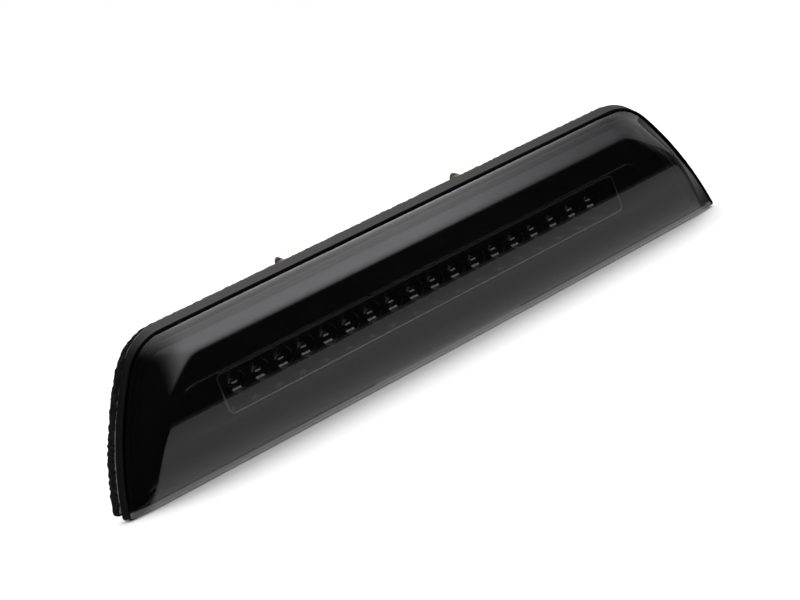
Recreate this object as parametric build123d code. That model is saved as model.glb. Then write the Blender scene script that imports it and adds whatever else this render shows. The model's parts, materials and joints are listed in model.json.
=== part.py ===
from build123d import *
import os

# A wedge-shaped, smoked third brake light (high-level stop lamp) with a row of LEDs.
# Frame, in millimetres: +X along the lamp, -Y forwards out of the lens, +Z up.
# The origin is on the seat plane (the back of the foam gasket), at the middle of the gasket's
# lower strip. Sub-parts are drawn with heights counted from the lamp's bottom edge, and each is
# lowered by ORIGIN_HEIGHT as it is written. "Depth" is the distance forwards of the seat plane,
# so y = -depth.

# ------------------------------------------------------------------ driving dimensions
LAMP_LENGTH = 342.0
LAMP_HEIGHT = 68.0
ORIGIN_HEIGHT = 8.0
TOP_HALF_LENGTH = 137.5
SIDE_BULGE = 5.3
CORNER_RADIUS = 25.0
SMALLEST_CORNER = 6.0
BOTTOM_CORNER = 2.0
SIDE_LEAN = 1.12

GASKET_THICKNESS = 3.0
GASKET_SHIFT = -1.3
ADHESIVE_SHIFT = -0.9
ADHESIVE_THICKNESS = 0.4
FLANGE_BACK = GASKET_THICKNESS + ADHESIVE_THICKNESS
FLANGE_THICKNESS = 3.8
FLANGE_FRONT = FLANGE_BACK + FLANGE_THICKNESS
FLANGE_FLOOR = FLANGE_BACK + 2.0
WALL = 2.2

# Insets from the lamp's outline are (side, bottom, top).
FLANGE_EDGE = (0.0, 0.0, 0.0)
FLANGE_CREST = (1.0, 0.0, 2.5)
GROOVE_EDGE = (1.4, -1.0, 2.9)
LENS_RIM = (2.2, 0.8, 3.75)
BODY_EDGE = (17.0, 14.0, 9.5)
GASKET_EDGE = (-1.2, 3.0, 0.0)
ADHESIVE_EDGE = (0.3, 2.6, -0.3)
BODY_CLEARANCE = 0.8
GROOVE_WALL = 0.8

LENS_WALL = 2.5
LENS_BACK = 5.9
LENS_FORM_BACK = 4.9
LENS_SKIRT_FRONT = 7.2
LENS_REACH = 30.0
LENS_FRONT_RIM = (24.2, 0.8, 5.0)
LENS_EDGE_ROUND = 2.0
SIDE_EDGE_LENGTH = 15.0
NOSE_DEPTH = 24.0
# The wedge's side profile: (depth, height, outward direction in degrees) from the top down.
PROFILE_POINTS = (
    (8.5, LAMP_HEIGHT - LENS_RIM[2] + 0.1, 90.0),
    (18.6, 56.0, 52.0),
    (NOSE_DEPTH, 38.5, 0.0),
    (18.8, 19.0, -28.0),
)
LIP_DEPTH = 11.0
LIP_DIRECTION = (0.62, -1.0)
LIP_SHRINK = 0.56
WEDGE_BACK_Y = 12.0
CROWN_RADIUS = 6000.0
CROWN_HALF_ANGLE = 1.9
SEALANT_FILL = 0.4
SEALANT_SIDE_GAP = 0.2
SKIRT_ROOM = 1.7

BODY_BACK = -16.0
BODY_FLOOR = BODY_BACK + WALL

BEZEL_INSET = 5.8
BEZEL_WALL = 1.5
BEZEL_BACK = 5.6
PANEL_BACK = 8.2
PANEL_FRONT = PANEL_BACK + BEZEL_WALL
BEZEL_OPENING = (15.5, 6.0, 14.0)

LED_COUNT = 18
LED_PITCH = 12.0
LED_HEIGHT = 29.2
LED_PACKAGE = 4.0
LED_PACKAGE_HEIGHT = 1.6
LED_DOME_RADIUS = 1.8

BOARD_FRONT = -0.4
BOARD_THICKNESS = 1.6
BOARD_BACK = BOARD_FRONT - BOARD_THICKNESS
BOARD_LENGTH = 226.0
BOARD_BOTTOM = 19.0
BOARD_TOP = 43.5
BOARD_SCREW_X = (-106.0, -36.0, 36.0, 106.0)
BOARD_SCREW_Z = 39.6
BOARD_HOLE_CLEARANCE = 0.3

# Small parts on the board's back: where each starts along X and Z, and its (length, depth, height).
RESISTOR_SIZE = (3.2, 0.6, 1.6)
RESISTOR_X = (-90.0, -54.0, -18.0, 18.0, 54.0, 90.0)
RESISTOR_Z = 24.0
DIODE_CORNER = (28.0, 30.0)
DIODE_SIZE = (4.4, 2.1, 2.7)
REGULATOR_CORNER = (8.0, 28.0)
REGULATOR_SIZE = (6.5, 2.3, 6.5)
CAPACITOR_CENTRE = (-8.0, 31.0)
CAPACITOR_RADIUS = 3.15
CAPACITOR_LENGTH = 5.4

REFLECTOR_BACK = BOARD_FRONT + LED_PACKAGE_HEIGHT + 0.1
CUP_DEPTH = 3.6
CUP_FLOOR_RADIUS = 2.4
CUP_MOUTH_RADIUS = 4.4
REFLECTOR_WALL = 1.2
REFLECTOR_REAR_HALF = 108.5
REFLECTOR_FRONT_HALF = 112.5
REFLECTOR_REAR_Z = (24.3, 34.2)
REFLECTOR_FRONT_Z = (21.0, 38.0)
REFLECTOR_LIP = 1.8
REFLECTOR_LIP_THICKNESS = 0.8
REFLECTOR_LIP_GAP = 0.05
WINDOW_CLEARANCE = 0.3

SCREW_SHANK_RADIUS = 1.2
SCREW_HOLE_RADIUS = 1.28
SCREW_HEAD_RADIUS = 2.6
SCREW_HEAD_HEIGHT = 1.8
SCREW_LENGTH = 8.0
BOARD_SCREW_SHORTER = 1.5
CLIP_SCREW_SHORTER = 2.2
SCREW_SLOT = 0.7
SCREW_RECESS_SPAN = 3.0
SCREW_RECESS_DEPTH = 0.5
SCREW_TIP_RADIUS = 0.3
SCREW_TIP_LENGTH = 1.2
BOSS_RADIUS = 3.4

CLIP_X = 50.0
CLIP_WIDTH = 10.4
CLIP_THICKNESS = 0.7
CLIP_SEAT_Z = LAMP_HEIGHT - BODY_EDGE[2] + 0.8
CLIP_BEND_RADIUS = 4.0
CLIP_BEND_Y = 13.0
CLIP_FOOT_START_Y = 3.6
CLIP_LEAF_TIP_Y = 3.4
CLIP_LEAF_DROP = 1.6
CLIP_SPLIT_GAP = 0.12
CLIP_SCREW_Y = 8.4
CLIP_PAD_HALF_LENGTH = 5.6

HOOK_X = 92.0
HOOK_WIDTH = 16.0
HOOK_DROP = 5.0
HOOK_THICKNESS = 3.0
HOOK_GAP = 3.0

CABLE_X = 66.0
CABLE_Z = 34.0
CABLE_RADIUS = 2.4
GROMMET_BORE = 2.5
GROMMET_NECK = 5.0
GROMMET_RIM = 6.8
GROMMET_RIM_THICKNESS = 2.2
GROMMET_PLAY = 0.02
GROMMET_HOLE_CLEARANCE = 0.05
SWING_Y = -BODY_BACK + 6.4
ENTRY_END_Y = -BODY_BACK + 3.6
CABLE_RUN = 84.0
CABLE_BEND = 9.0
CABLE_OUT = 3.0
CABLE_SAG = 8.0
LEAD_RADIUS = 0.75
LEAD_SPREAD = 1.3

PLUG_LENGTH = 24.0
PLUG_DEPTH = 14.0
PLUG_HEIGHT = 11.0
PLUG_WALL = 1.5
PLUG_MOUTH = 12.0
PLUG_CORNER = 1.2
PLUG_CABLE_GAP = 0.05
SEAL_SECTION = 1.2
SEAL_LENGTH = 2.0
SEAL_GAP = 0.1
TERMINAL_PITCH = 5.0
TERMINAL_RADIUS = 0.8
TERMINAL_START = 2.2
TERMINAL_LENGTH = 19.0
TERMINAL_WAY_RADIUS = 1.3
TERMINAL_WAY_START = 2.0
LATCH_LENGTH = 15.0
LATCH_WIDTH = 6.0
LATCH_THICKNESS = 1.5
LATCH_TAIL = 6.0
LATCH_SET_BACK = 9.0
LATCH_RISE = 2.0
LATCH_EAR_HALF = 1.8
LATCH_EAR_THICKNESS = 1.6
LATCH_EAR_ROOT = 0.4
LATCH_SIDE_GAP = 0.2
LATCH_NOSE_LENGTH = 1.6
LATCH_NOSE_DEPTH = 0.7
LATCH_PIN_RADIUS = 1.0
LATCH_PIN_CLEARANCE = 0.06

VENT_X = -84.0
VENT_Z = 38.0
VENT_TUBE_RADIUS = 4.2
VENT_BORE_RADIUS = 2.6
VENT_TUBE_LENGTH = 5.0
VENT_CAP_RADIUS = 6.4
VENT_CAP_LENGTH = 5.4
VENT_CAP_OVERLAP = 3.4
VENT_CAP_SEAT = 0.6
VENT_CAP_ROOM = 0.8
VENT_CAP_CLEARANCE = 0.06
VENT_SLOT_DEPTH = 1.0
VENT_SLOT_HALF = 0.9
MEMBRANE_INSET = 0.4
MEMBRANE_THICKNESS = 0.3

# How far a cutting shape runs past the surface it opens.
OVERCUT = 1.0


# ------------------------------------------------------------------ helpers
def write(node, shape):
    """Write one named sub-part, moved so that its heights count from the origin."""
    export_step(Pos(0, 0, -ORIGIN_HEIGHT) * shape, os.path.join("parts", node + ".step"))


def box_between(x_range, y_range, z_range):
    """A block between two corners."""
    size = [high - low for low, high in (x_range, y_range, z_range)]
    middle = [(high + low) / 2 for low, high in (x_range, y_range, z_range)]
    return Pos(*middle) * Box(*size)


def rod_along(axis, start, radius, length):
    """A round bar that starts at a point and runs along an axis direction."""
    return extrude(Plane(origin=start, z_dir=axis) * Circle(radius), amount=length)


def swept_strip(path, width, thickness):
    """A flat strip, its width along X, that follows a path."""
    section = Plane(origin=path @ 0, x_dir=(1, 0, 0), z_dir=path % 0) * Rectangle(width, thickness)
    return sweep(section, path=path)


def swept_round(path, radius):
    """A round cord that follows a path."""
    section = Plane(origin=path @ 0, z_dir=path % 0) * Circle(radius)
    return sweep(section, path=path)


def grown(inset, amount):
    """An inset moved further inwards by the same amount all round."""
    return tuple(value + amount for value in inset)


# ------------------------------------------------------------------ the lamp's outline
def half_length_at(height):
    """Half the lamp's length at a height: a straight taper with a shallow outward bulge."""
    part_way = height / LAMP_HEIGHT
    straight = LAMP_LENGTH / 2 + (TOP_HALF_LENGTH - LAMP_LENGTH / 2) * part_way
    return straight + 4 * SIDE_BULGE * part_way * (1 - part_way)


def outline(inset):
    """The trapezoid outline with bowed sides and round top corners, moved inwards."""
    side, bottom, top = inset
    low = bottom
    high = LAMP_HEIGHT - top
    middle = (low + high) / 2
    right = [(half_length_at(z) - side * SIDE_LEAN, z) for z in (low, middle, high)]
    left = [(-x, z) for x, z in right]
    ends = [Line(left[0], right[0]), Line(right[2], left[2])]
    sides = [ThreePointArc(*right), ThreePointArc(*left)]
    face = make_face(ends + sides)
    corner = max(CORNER_RADIUS - side, SMALLEST_CORNER)
    face = fillet(face.vertices().sort_by(Axis.Y)[-2:], corner)
    return fillet(face.vertices().sort_by(Axis.Y)[:2], BOTTOM_CORNER)


def slab(inset, back, front):
    """A plate with the lamp's outline, between two depths."""
    return extrude(Plane.XZ.offset(back) * outline(inset), amount=front - back)


def tapered_slab(back_inset, front_inset, back, front):
    """A plate whose outline changes evenly from one inset to another."""
    rear = Plane.XZ.offset(back) * outline(back_inset)
    fore = Plane.XZ.offset(front) * outline(front_inset)
    return loft([rear.face(), fore.face()], ruled=True)


def moved_in(point, shrink):
    """A point of the side profile moved inwards, against its outward direction."""
    depth, height, angle = point
    outward = Vector(1, 0).rotate(Axis.Z, angle)
    return (-(depth - shrink * outward.X), height - shrink * outward.Y)


def wedge(shrink):
    """The wedge seen from the side, carried along the lamp on a wide curve, made smaller by shrink."""
    shoulder, brow, nose, chin = [moved_in(point, shrink) for point in PROFILE_POINTS]
    lip = (-(LIP_DEPTH - LIP_SHRINK * shrink), LENS_RIM[1] + shrink)
    front = Spline(shoulder, brow, nose, chin, lip, tangents=((-1, -0.04), LIP_DIRECTION))
    face = make_face([
        front,
        Line(lip, (WEDGE_BACK_Y, lip[1])),
        Line((WEDGE_BACK_Y, lip[1]), (WEDGE_BACK_Y, shoulder[1])),
        Line((WEDGE_BACK_Y, shoulder[1]), shoulder),
    ])
    spin = Axis((0, CROWN_RADIUS - NOSE_DEPTH, 0), (0, 0, 1))
    start = (Plane.YZ * face).rotate(spin, -CROWN_HALF_ANGLE)
    return revolve(start, axis=spin, revolution_arc=2 * CROWN_HALF_ANGLE)


def drafted_block(shrink):
    """The lens's outline drawn forwards: a straight skirt, then ends that lean inwards."""
    rim = grown(LENS_RIM, shrink)
    skirt = slab(rim, LENS_FORM_BACK, LENS_SKIRT_FRONT)
    return skirt + tapered_slab(rim, grown(LENS_FRONT_RIM, shrink), LENS_SKIRT_FRONT, LENS_REACH)


def hood(shrink, back):
    """The lens's solid form, from a depth forwards: the leaning block cut to the wedge."""
    half = LAMP_LENGTH / 2
    keep = box_between((-half, half), (-LENS_REACH, -back), (-LAMP_HEIGHT, 2 * LAMP_HEIGHT))
    return drafted_block(shrink) & wedge(shrink) & keep


# ------------------------------------------------------------------ casing
def board_bosses():
    """Pillars on the housing floor that carry the circuit board."""
    height = BOARD_BACK - BODY_FLOOR
    feet = [(x, -BODY_FLOOR, BOARD_SCREW_Z) for x in BOARD_SCREW_X]
    return [rod_along((0, -1, 0), foot, BOSS_RADIUS, height) for foot in feet]


def clip_pad(x):
    """The raised pad on the housing's top wall that a spring clip sits on."""
    top = LAMP_HEIGHT - BODY_EDGE[2]
    return box_between(
        (x - CLIP_WIDTH / 2 - 1, x + CLIP_WIDTH / 2 + 1),
        (CLIP_SCREW_Y - CLIP_PAD_HALF_LENGTH, CLIP_SCREW_Y + CLIP_PAD_HALF_LENGTH),
        (top - WALL, CLIP_SEAT_Z),
    )


def clip_boss(x):
    """The pillar under a clip pad that the clip's screw bites into."""
    return rod_along((0, 0, -1), (x, CLIP_SCREW_Y, CLIP_SEAT_Z - 1), BOSS_RADIUS, SCREW_LENGTH)


def bottom_hook(x):
    """A hook under the housing that catches behind the bodywork's lower edge."""
    bottom = BODY_EDGE[1]
    x_range = (x - HOOK_WIDTH / 2, x + HOOK_WIDTH / 2)
    return box_between(x_range, (HOOK_GAP, HOOK_GAP + HOOK_THICKNESS), (bottom - HOOK_DROP, bottom + WALL))


def rear_housing():
    """The moulded tray: flange, lens groove, body, pillars, pads, hooks and vent tube."""
    flange = tapered_slab(FLANGE_EDGE, FLANGE_CREST, FLANGE_BACK, FLANGE_FRONT)
    body = flange + slab(BODY_EDGE, BODY_BACK, FLANGE_FLOOR)
    inner_rim = slab(grown(LENS_RIM, LENS_WALL + SKIRT_ROOM), 0, LENS_REACH)
    groove = slab(GROOVE_EDGE, FLANGE_FLOOR, LENS_REACH) - inner_rim
    opening = slab(grown(LENS_RIM, LENS_WALL + SKIRT_ROOM + GROOVE_WALL), FLANGE_FLOOR, LENS_REACH)
    cavity = slab(grown(BODY_EDGE, WALL), BODY_FLOOR, LENS_REACH)
    body = body - groove - opening - cavity
    for boss in board_bosses():
        body += boss
    for x in (-CLIP_X, CLIP_X):
        body += clip_pad(x) + clip_boss(x)
    for x in (-HOOK_X, HOOK_X):
        body += bottom_hook(x)
    body += rod_along((0, 1, 0), (VENT_X, -BODY_FLOOR, VENT_Z), VENT_TUBE_RADIUS, WALL + VENT_TUBE_LENGTH)
    return body - housing_holes()


def housing_holes():
    """Every hole in the housing: screws, cable and vent."""
    cable_hole_radius = GROMMET_NECK + GROMMET_HOLE_CLEARANCE
    holes = rod_along((0, 1, 0), (CABLE_X, 0, CABLE_Z), cable_hole_radius, -BODY_BACK + OVERCUT)
    holes += rod_along((0, 1, 0), (VENT_X, 0, VENT_Z), VENT_BORE_RADIUS, -BODY_BACK + VENT_TUBE_LENGTH + 1)
    for x in BOARD_SCREW_X:
        start = (x, -BOARD_BACK - 1, BOARD_SCREW_Z)
        holes += rod_along((0, 1, 0), start, SCREW_HOLE_RADIUS, SCREW_LENGTH + 1)
    for x in (-CLIP_X, CLIP_X):
        start = (x, CLIP_SCREW_Y, CLIP_SEAT_Z + 1)
        holes += rod_along((0, 0, -1), start, SCREW_HOLE_RADIUS, SCREW_LENGTH + CLIP_THICKNESS)
    return holes


def flat_ring(edge, shift, back, front):
    """A ring round the housing's body, its outer edge stuck on a little to one side."""
    plate = Pos(shift, 0, 0) * slab(edge, back, front)
    return plate - slab(grown(BODY_EDGE, -BODY_CLEARANCE), back - 1, front + 1)


def outer_lens():
    """The smoked hood-shaped lens, one even wall."""
    shell = hood(0, LENS_BACK)
    end_edges = [edge for edge in shell.edges() if abs(edge.center().X) > TOP_HALF_LENGTH / 2]
    long_edges = [edge for edge in end_edges if edge.length > SIDE_EDGE_LENGTH]
    shell = fillet([edge for edge in long_edges if edge.center().Y < -LIP_DEPTH], LENS_EDGE_ROUND)
    return shell - hood(LENS_WALL, LENS_BACK - 1)


def lens_sealant():
    """The bead under the lens's skirt."""
    outer = slab(grown(LENS_RIM, SEALANT_SIDE_GAP), FLANGE_FLOOR, FLANGE_FLOOR + SEALANT_FILL)
    return outer - slab(grown(LENS_RIM, LENS_WALL - SEALANT_SIDE_GAP), 0, FLANGE_FRONT)


# ------------------------------------------------------------------ light unit
def flared_block(back, front, growth):
    """The reflector trough's form: a rectangle that opens out forwards, grown all round."""
    rear_width = 2 * (REFLECTOR_REAR_HALF + growth)
    front_width = 2 * (REFLECTOR_FRONT_HALF + growth)
    rear_height = REFLECTOR_REAR_Z[1] - REFLECTOR_REAR_Z[0] + 2 * growth
    front_height = REFLECTOR_FRONT_Z[1] - REFLECTOR_FRONT_Z[0] + 2 * growth
    rear_middle = Pos(0, sum(REFLECTOR_REAR_Z) / 2)
    front_middle = Pos(0, sum(REFLECTOR_FRONT_Z) / 2)
    rear = Plane.XZ.offset(back) * rear_middle * Rectangle(rear_width, rear_height)
    mouth = Plane.XZ.offset(front) * front_middle * Rectangle(front_width, front_height)
    return loft([rear.face(), mouth.face()])


def led_positions():
    """Where each LED's centre is along the lamp."""
    return [(index - (LED_COUNT - 1) / 2) * LED_PITCH for index in range(LED_COUNT)]


def led_reflector():
    """The bright trough behind the lens: a thick rear bar with a cup per LED, and flared walls."""
    cup_front = REFLECTOR_BACK + CUP_DEPTH
    mouth = PANEL_FRONT + REFLECTOR_LIP_THICKNESS
    trough = flared_block(REFLECTOR_BACK, mouth, REFLECTOR_WALL)
    lip_plane = Plane.XZ.offset(PANEL_FRONT + REFLECTOR_LIP_GAP)
    lip = lip_plane * Pos(0, sum(REFLECTOR_FRONT_Z) / 2) * RectangleRounded(
        2 * (REFLECTOR_FRONT_HALF + REFLECTOR_WALL + REFLECTOR_LIP),
        REFLECTOR_FRONT_Z[1] - REFLECTOR_FRONT_Z[0] + 2 * (REFLECTOR_WALL + REFLECTOR_LIP),
        REFLECTOR_LIP + REFLECTOR_WALL,
    )
    trough += extrude(lip, amount=REFLECTOR_LIP_THICKNESS - REFLECTOR_LIP_GAP)
    trough -= flared_block(cup_front, mouth + 0.01, 0)
    cup = Cone(CUP_FLOOR_RADIUS, CUP_MOUTH_RADIUS, CUP_DEPTH, align=(Align.CENTER, Align.CENTER, Align.MIN))
    for x in led_positions():
        trough -= Plane(origin=(x, -REFLECTOR_BACK, LED_HEIGHT), z_dir=(0, -1, 0)) * cup
    return trough


def inner_bezel():
    """The black surround: a flat panel with the LED window, and a wall just inside the lens."""
    walls = hood(BEZEL_INSET, BEZEL_BACK) - hood(BEZEL_INSET + BEZEL_WALL, BEZEL_BACK - 1)
    walls -= slab(BEZEL_OPENING, PANEL_FRONT, LENS_REACH)
    panel = hood(BEZEL_INSET, PANEL_BACK) & slab(FLANGE_EDGE, PANEL_BACK, PANEL_FRONT)
    mouth = PANEL_FRONT + REFLECTOR_LIP_THICKNESS
    window = flared_block(REFLECTOR_BACK, mouth, REFLECTOR_WALL + WINDOW_CLEARANCE)
    return (walls + panel) - window


def circuit_board():
    """The LED board with its screw holes."""
    board = box_between(
        (-BOARD_LENGTH / 2, BOARD_LENGTH / 2), (-BOARD_FRONT, -BOARD_BACK), (BOARD_BOTTOM, BOARD_TOP)
    )
    for x in BOARD_SCREW_X:
        hole_start = (x, -BOARD_FRONT - BOARD_THICKNESS, BOARD_SCREW_Z)
        hole_radius = SCREW_SHANK_RADIUS + BOARD_HOLE_CLEARANCE
        board -= rod_along((0, 1, 0), hole_start, hole_radius, 3 * BOARD_THICKNESS)
    return board


def led_packages():
    """The square LED bodies soldered to the board's front."""
    half = LED_PACKAGE / 2
    front = BOARD_FRONT + LED_PACKAGE_HEIGHT
    y_range = (-front, -BOARD_FRONT)
    z_range = (LED_HEIGHT - half, LED_HEIGHT + half)
    return Compound([box_between((x - half, x + half), y_range, z_range) for x in led_positions()])


def led_domes():
    """The small clear dome on each LED body."""
    front = BOARD_FRONT + LED_PACKAGE_HEIGHT
    keep = box_between((-LAMP_LENGTH, LAMP_LENGTH), (-LENS_REACH, -front), (0, LAMP_HEIGHT))
    balls = [Pos(x, -front, LED_HEIGHT) * Sphere(LED_DOME_RADIUS) for x in led_positions()]
    return Compound([ball & keep for ball in balls])


def block_on_board(corner, size):
    """A small block on the board's back."""
    x, z = corner
    length, depth, height = size
    return box_between((x, x + length), (-BOARD_BACK, -BOARD_BACK + depth), (z, z + height))


def board_resistors():
    """One chip resistor for each group of three LEDs, on the board's back."""
    return Compound([block_on_board((x, RESISTOR_Z), RESISTOR_SIZE) for x in RESISTOR_X])


def protection_diode():
    """The moulded diode that guards against reversed supply."""
    return block_on_board(DIODE_CORNER, DIODE_SIZE)


def current_regulator():
    """The square regulator chip."""
    return block_on_board(REGULATOR_CORNER, REGULATOR_SIZE)


def smoothing_capacitor():
    """The round can capacitor, standing off the board's back."""
    x, z = CAPACITOR_CENTRE
    return rod_along((0, 1, 0), (x, -BOARD_BACK, z), CAPACITOR_RADIUS, CAPACITOR_LENGTH)


# ------------------------------------------------------------------ fasteners
def pan_head_screw(length):
    """A self-tapping screw, its head's underside at the origin and its shank along -Z."""
    head = Cylinder(SCREW_HEAD_RADIUS, SCREW_HEAD_HEIGHT, align=(Align.CENTER, Align.CENTER, Align.MIN))
    head = fillet(head.edges().group_by(Axis.Z)[-1], SCREW_HEAD_HEIGHT / 2)
    recess_z = SCREW_HEAD_HEIGHT - SCREW_RECESS_DEPTH
    for width, depth in ((SCREW_RECESS_SPAN, SCREW_SLOT), (SCREW_SLOT, SCREW_RECESS_SPAN)):
        slot = Box(width, depth, SCREW_HEAD_HEIGHT, align=(Align.CENTER, Align.CENTER, Align.MIN))
        head -= Pos(0, 0, recess_z) * slot
    shank = Cylinder(SCREW_SHANK_RADIUS, length, align=(Align.CENTER, Align.CENTER, Align.MAX))
    tip_align = (Align.CENTER, Align.CENTER, Align.MAX)
    tip = Pos(0, 0, -length) * Cone(SCREW_TIP_RADIUS, SCREW_SHANK_RADIUS, SCREW_TIP_LENGTH, align=tip_align)
    return head + shank + tip


def board_screws():
    """The screws that hold the circuit board."""
    screw = pan_head_screw(SCREW_LENGTH - BOARD_SCREW_SHORTER)
    planes = [Plane(origin=(x, -BOARD_FRONT, BOARD_SCREW_Z), z_dir=(0, -1, 0)) for x in BOARD_SCREW_X]
    return Compound([plane * screw for plane in planes])


def clip_screws():
    """The screws that hold the spring clips."""
    screw = pan_head_screw(SCREW_LENGTH - CLIP_SCREW_SHORTER)
    height = CLIP_SEAT_Z + CLIP_THICKNESS
    return Compound([Pos(x, CLIP_SCREW_Y, height) * screw for x in (-CLIP_X, CLIP_X)])


# ------------------------------------------------------------------ spring clips
def clip_foot(x):
    """The fixed half of a spring clip: the screwed foot and the lower half of its bend."""
    centre_z = CLIP_SEAT_Z + CLIP_THICKNESS / 2
    start = (x, CLIP_FOOT_START_Y, centre_z)
    bend = (x, CLIP_BEND_Y, centre_z)
    half_way = (x, CLIP_BEND_Y + CLIP_BEND_RADIUS, centre_z + CLIP_BEND_RADIUS)
    path = Line(start, bend) + TangentArc(bend, half_way, tangent=(0, 1, 0))
    foot = swept_strip(path, CLIP_WIDTH, CLIP_THICKNESS)
    foot -= rod_along((0, 0, 1), (x, CLIP_SCREW_Y, CLIP_SEAT_Z - 1), SCREW_SHANK_RADIUS + 0.3, 3)
    return foot - clip_split_gap(x)


def clip_leaf(x):
    """The sprung half of a clip: the upper half of its bend and the leaf that catches the panel."""
    centre_z = CLIP_SEAT_Z + CLIP_THICKNESS / 2
    half_way = (x, CLIP_BEND_Y + CLIP_BEND_RADIUS, centre_z + CLIP_BEND_RADIUS)
    crest = (x, CLIP_BEND_Y, centre_z + 2 * CLIP_BEND_RADIUS)
    tip = (x, CLIP_LEAF_TIP_Y, crest[2] - CLIP_LEAF_DROP)
    lead_in = (x, (crest[1] + tip[1]) / 2, crest[2] - CLIP_LEAF_DROP / 4)
    leaf = Spline(crest, lead_in, tip, tangents=((0, -1, 0), (0, -1, -0.3)))
    path = TangentArc(half_way, crest, tangent=(0, 0, 1)) + leaf
    return swept_strip(path, CLIP_WIDTH, CLIP_THICKNESS) - clip_split_gap(x)


def clip_split_gap(x):
    """The thin slot across the bend, on the line that the leaf flexes about."""
    middle = CLIP_SEAT_Z + CLIP_THICKNESS / 2 + CLIP_BEND_RADIUS
    half_gap = CLIP_SPLIT_GAP / 2
    x_range = (x - CLIP_WIDTH, x + CLIP_WIDTH)
    y_range = (CLIP_BEND_Y, CLIP_BEND_Y + 2 * CLIP_BEND_RADIUS)
    return box_between(x_range, y_range, (middle - half_gap, middle + half_gap))


# ------------------------------------------------------------------ back of the housing
def vent_membrane():
    """The breathable disc over the vent's bore."""
    face_y = -BODY_BACK + VENT_TUBE_LENGTH
    radius = VENT_TUBE_RADIUS - MEMBRANE_INSET
    return rod_along((0, 1, 0), (VENT_X, face_y, VENT_Z), radius, MEMBRANE_THICKNESS)


def vent_cap():
    """The cap over the vent tube, with slots round its rim."""
    face_y = -BODY_BACK + VENT_TUBE_LENGTH
    rim_y = face_y - VENT_CAP_OVERLAP
    seat_y = face_y + VENT_CAP_SEAT
    bore_radius = VENT_TUBE_RADIUS + VENT_CAP_CLEARANCE
    cap = rod_along((0, 1, 0), (VENT_X, rim_y, VENT_Z), VENT_CAP_RADIUS, VENT_CAP_LENGTH)
    cap -= rod_along((0, 1, 0), (VENT_X, rim_y - OVERCUT, VENT_Z), bore_radius, seat_y - rim_y + OVERCUT)
    cap -= rod_along((0, 1, 0), (VENT_X, face_y, VENT_Z), VENT_TUBE_RADIUS, VENT_CAP_ROOM)
    reach = VENT_CAP_RADIUS + OVERCUT
    slot = Box(2 * reach, 2 * VENT_SLOT_DEPTH, 2 * VENT_SLOT_HALF)
    for angle in (0, 60, 120):
        cap -= Pos(VENT_X, rim_y, VENT_Z) * Rot(0, angle, 0) * slot
    return cap


def cable_grommet():
    """The rubber grommet in the housing's back wall."""
    inner_y = -BODY_FLOOR - GROMMET_RIM_THICKNESS
    length = WALL + 2 * GROMMET_RIM_THICKNESS
    grommet = rod_along((0, 1, 0), (CABLE_X, inner_y, CABLE_Z), GROMMET_NECK - GROMMET_PLAY, length)
    for y in (inner_y, -BODY_BACK):
        grommet += rod_along((0, 1, 0), (CABLE_X, y, CABLE_Z), GROMMET_RIM, GROMMET_RIM_THICKNESS)
    return grommet - rod_along((0, 1, 0), (CABLE_X, 0, CABLE_Z), GROMMET_BORE, 40)


def cable_entry():
    """The length of the cable's sheath that is held in the grommet."""
    start = (CABLE_X, -BODY_FLOOR - GROMMET_RIM_THICKNESS - 1, CABLE_Z)
    return rod_along((0, 1, 0), start, CABLE_RADIUS, ENTRY_END_Y - start[1])


def inner_lead(side):
    """One insulated lead from the cable to the board's back, side -1 or 1."""
    z = CABLE_Z + side * LEAD_SPREAD
    cable_end = (CABLE_X, -BODY_FLOOR - GROMMET_RIM_THICKNESS - 1.05, z)
    board_spot = (CABLE_X - 20, -BOARD_BACK, z + side * 2)
    path = Spline(cable_end, board_spot, tangents=((0, -1, 0), (0, -1, 0)))
    return swept_round(path, LEAD_RADIUS)


def pigtail_path():
    """The cable's centre line outside the lamp: out of the grommet, then along the lamp's back."""
    start = (CABLE_X, SWING_Y, CABLE_Z)
    out = (CABLE_X, SWING_Y + CABLE_OUT, CABLE_Z)
    turned = (CABLE_X - CABLE_BEND, SWING_Y + CABLE_OUT + CABLE_BEND, CABLE_Z)
    end = (turned[0] - CABLE_RUN, turned[1], CABLE_Z - CABLE_SAG)
    return (
        Line(start, out)
        + TangentArc(out, turned, tangent=(0, 1, 0))
        + Spline(turned, end, tangents=((-1, 0, 0), (-1, 0, 0)))
    )


def pigtail_cable():
    """The swinging cable, with a round end where it leaves the grommet."""
    return swept_round(pigtail_path(), CABLE_RADIUS) + Pos(CABLE_X, SWING_Y, CABLE_Z) * Sphere(CABLE_RADIUS)


def plug_corner():
    """The centre of the plug's cable-end face."""
    return pigtail_path() @ 1


def connector_housing():
    """The two-way plug: a block with a mouth, two terminal ways and ears for the latch."""
    end = plug_corner()
    x_range = (end.X - PLUG_LENGTH, end.X - PLUG_CABLE_GAP)
    y_range = (end.Y - PLUG_DEPTH / 2, end.Y + PLUG_DEPTH / 2)
    z_range = (end.Z - PLUG_HEIGHT / 2, end.Z + PLUG_HEIGHT / 2)
    body = box_between(x_range, y_range, z_range)
    body = fillet(body.edges().filter_by(Axis.X), PLUG_CORNER)
    mouth_x = (x_range[0] - OVERCUT, x_range[0] + PLUG_MOUTH)
    mouth_y = (y_range[0] + PLUG_WALL, y_range[1] - PLUG_WALL)
    mouth_z = (z_range[0] + PLUG_WALL, z_range[1] - PLUG_WALL)
    body -= box_between(mouth_x, mouth_y, mouth_z)
    for side in (-1, 1):
        way_start = (end.X - TERMINAL_WAY_START, end.Y + side * TERMINAL_PITCH / 2, end.Z)
        body -= rod_along((-1, 0, 0), way_start, TERMINAL_WAY_RADIUS, PLUG_LENGTH)
        body += latch_ear(side)
    return body


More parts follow.
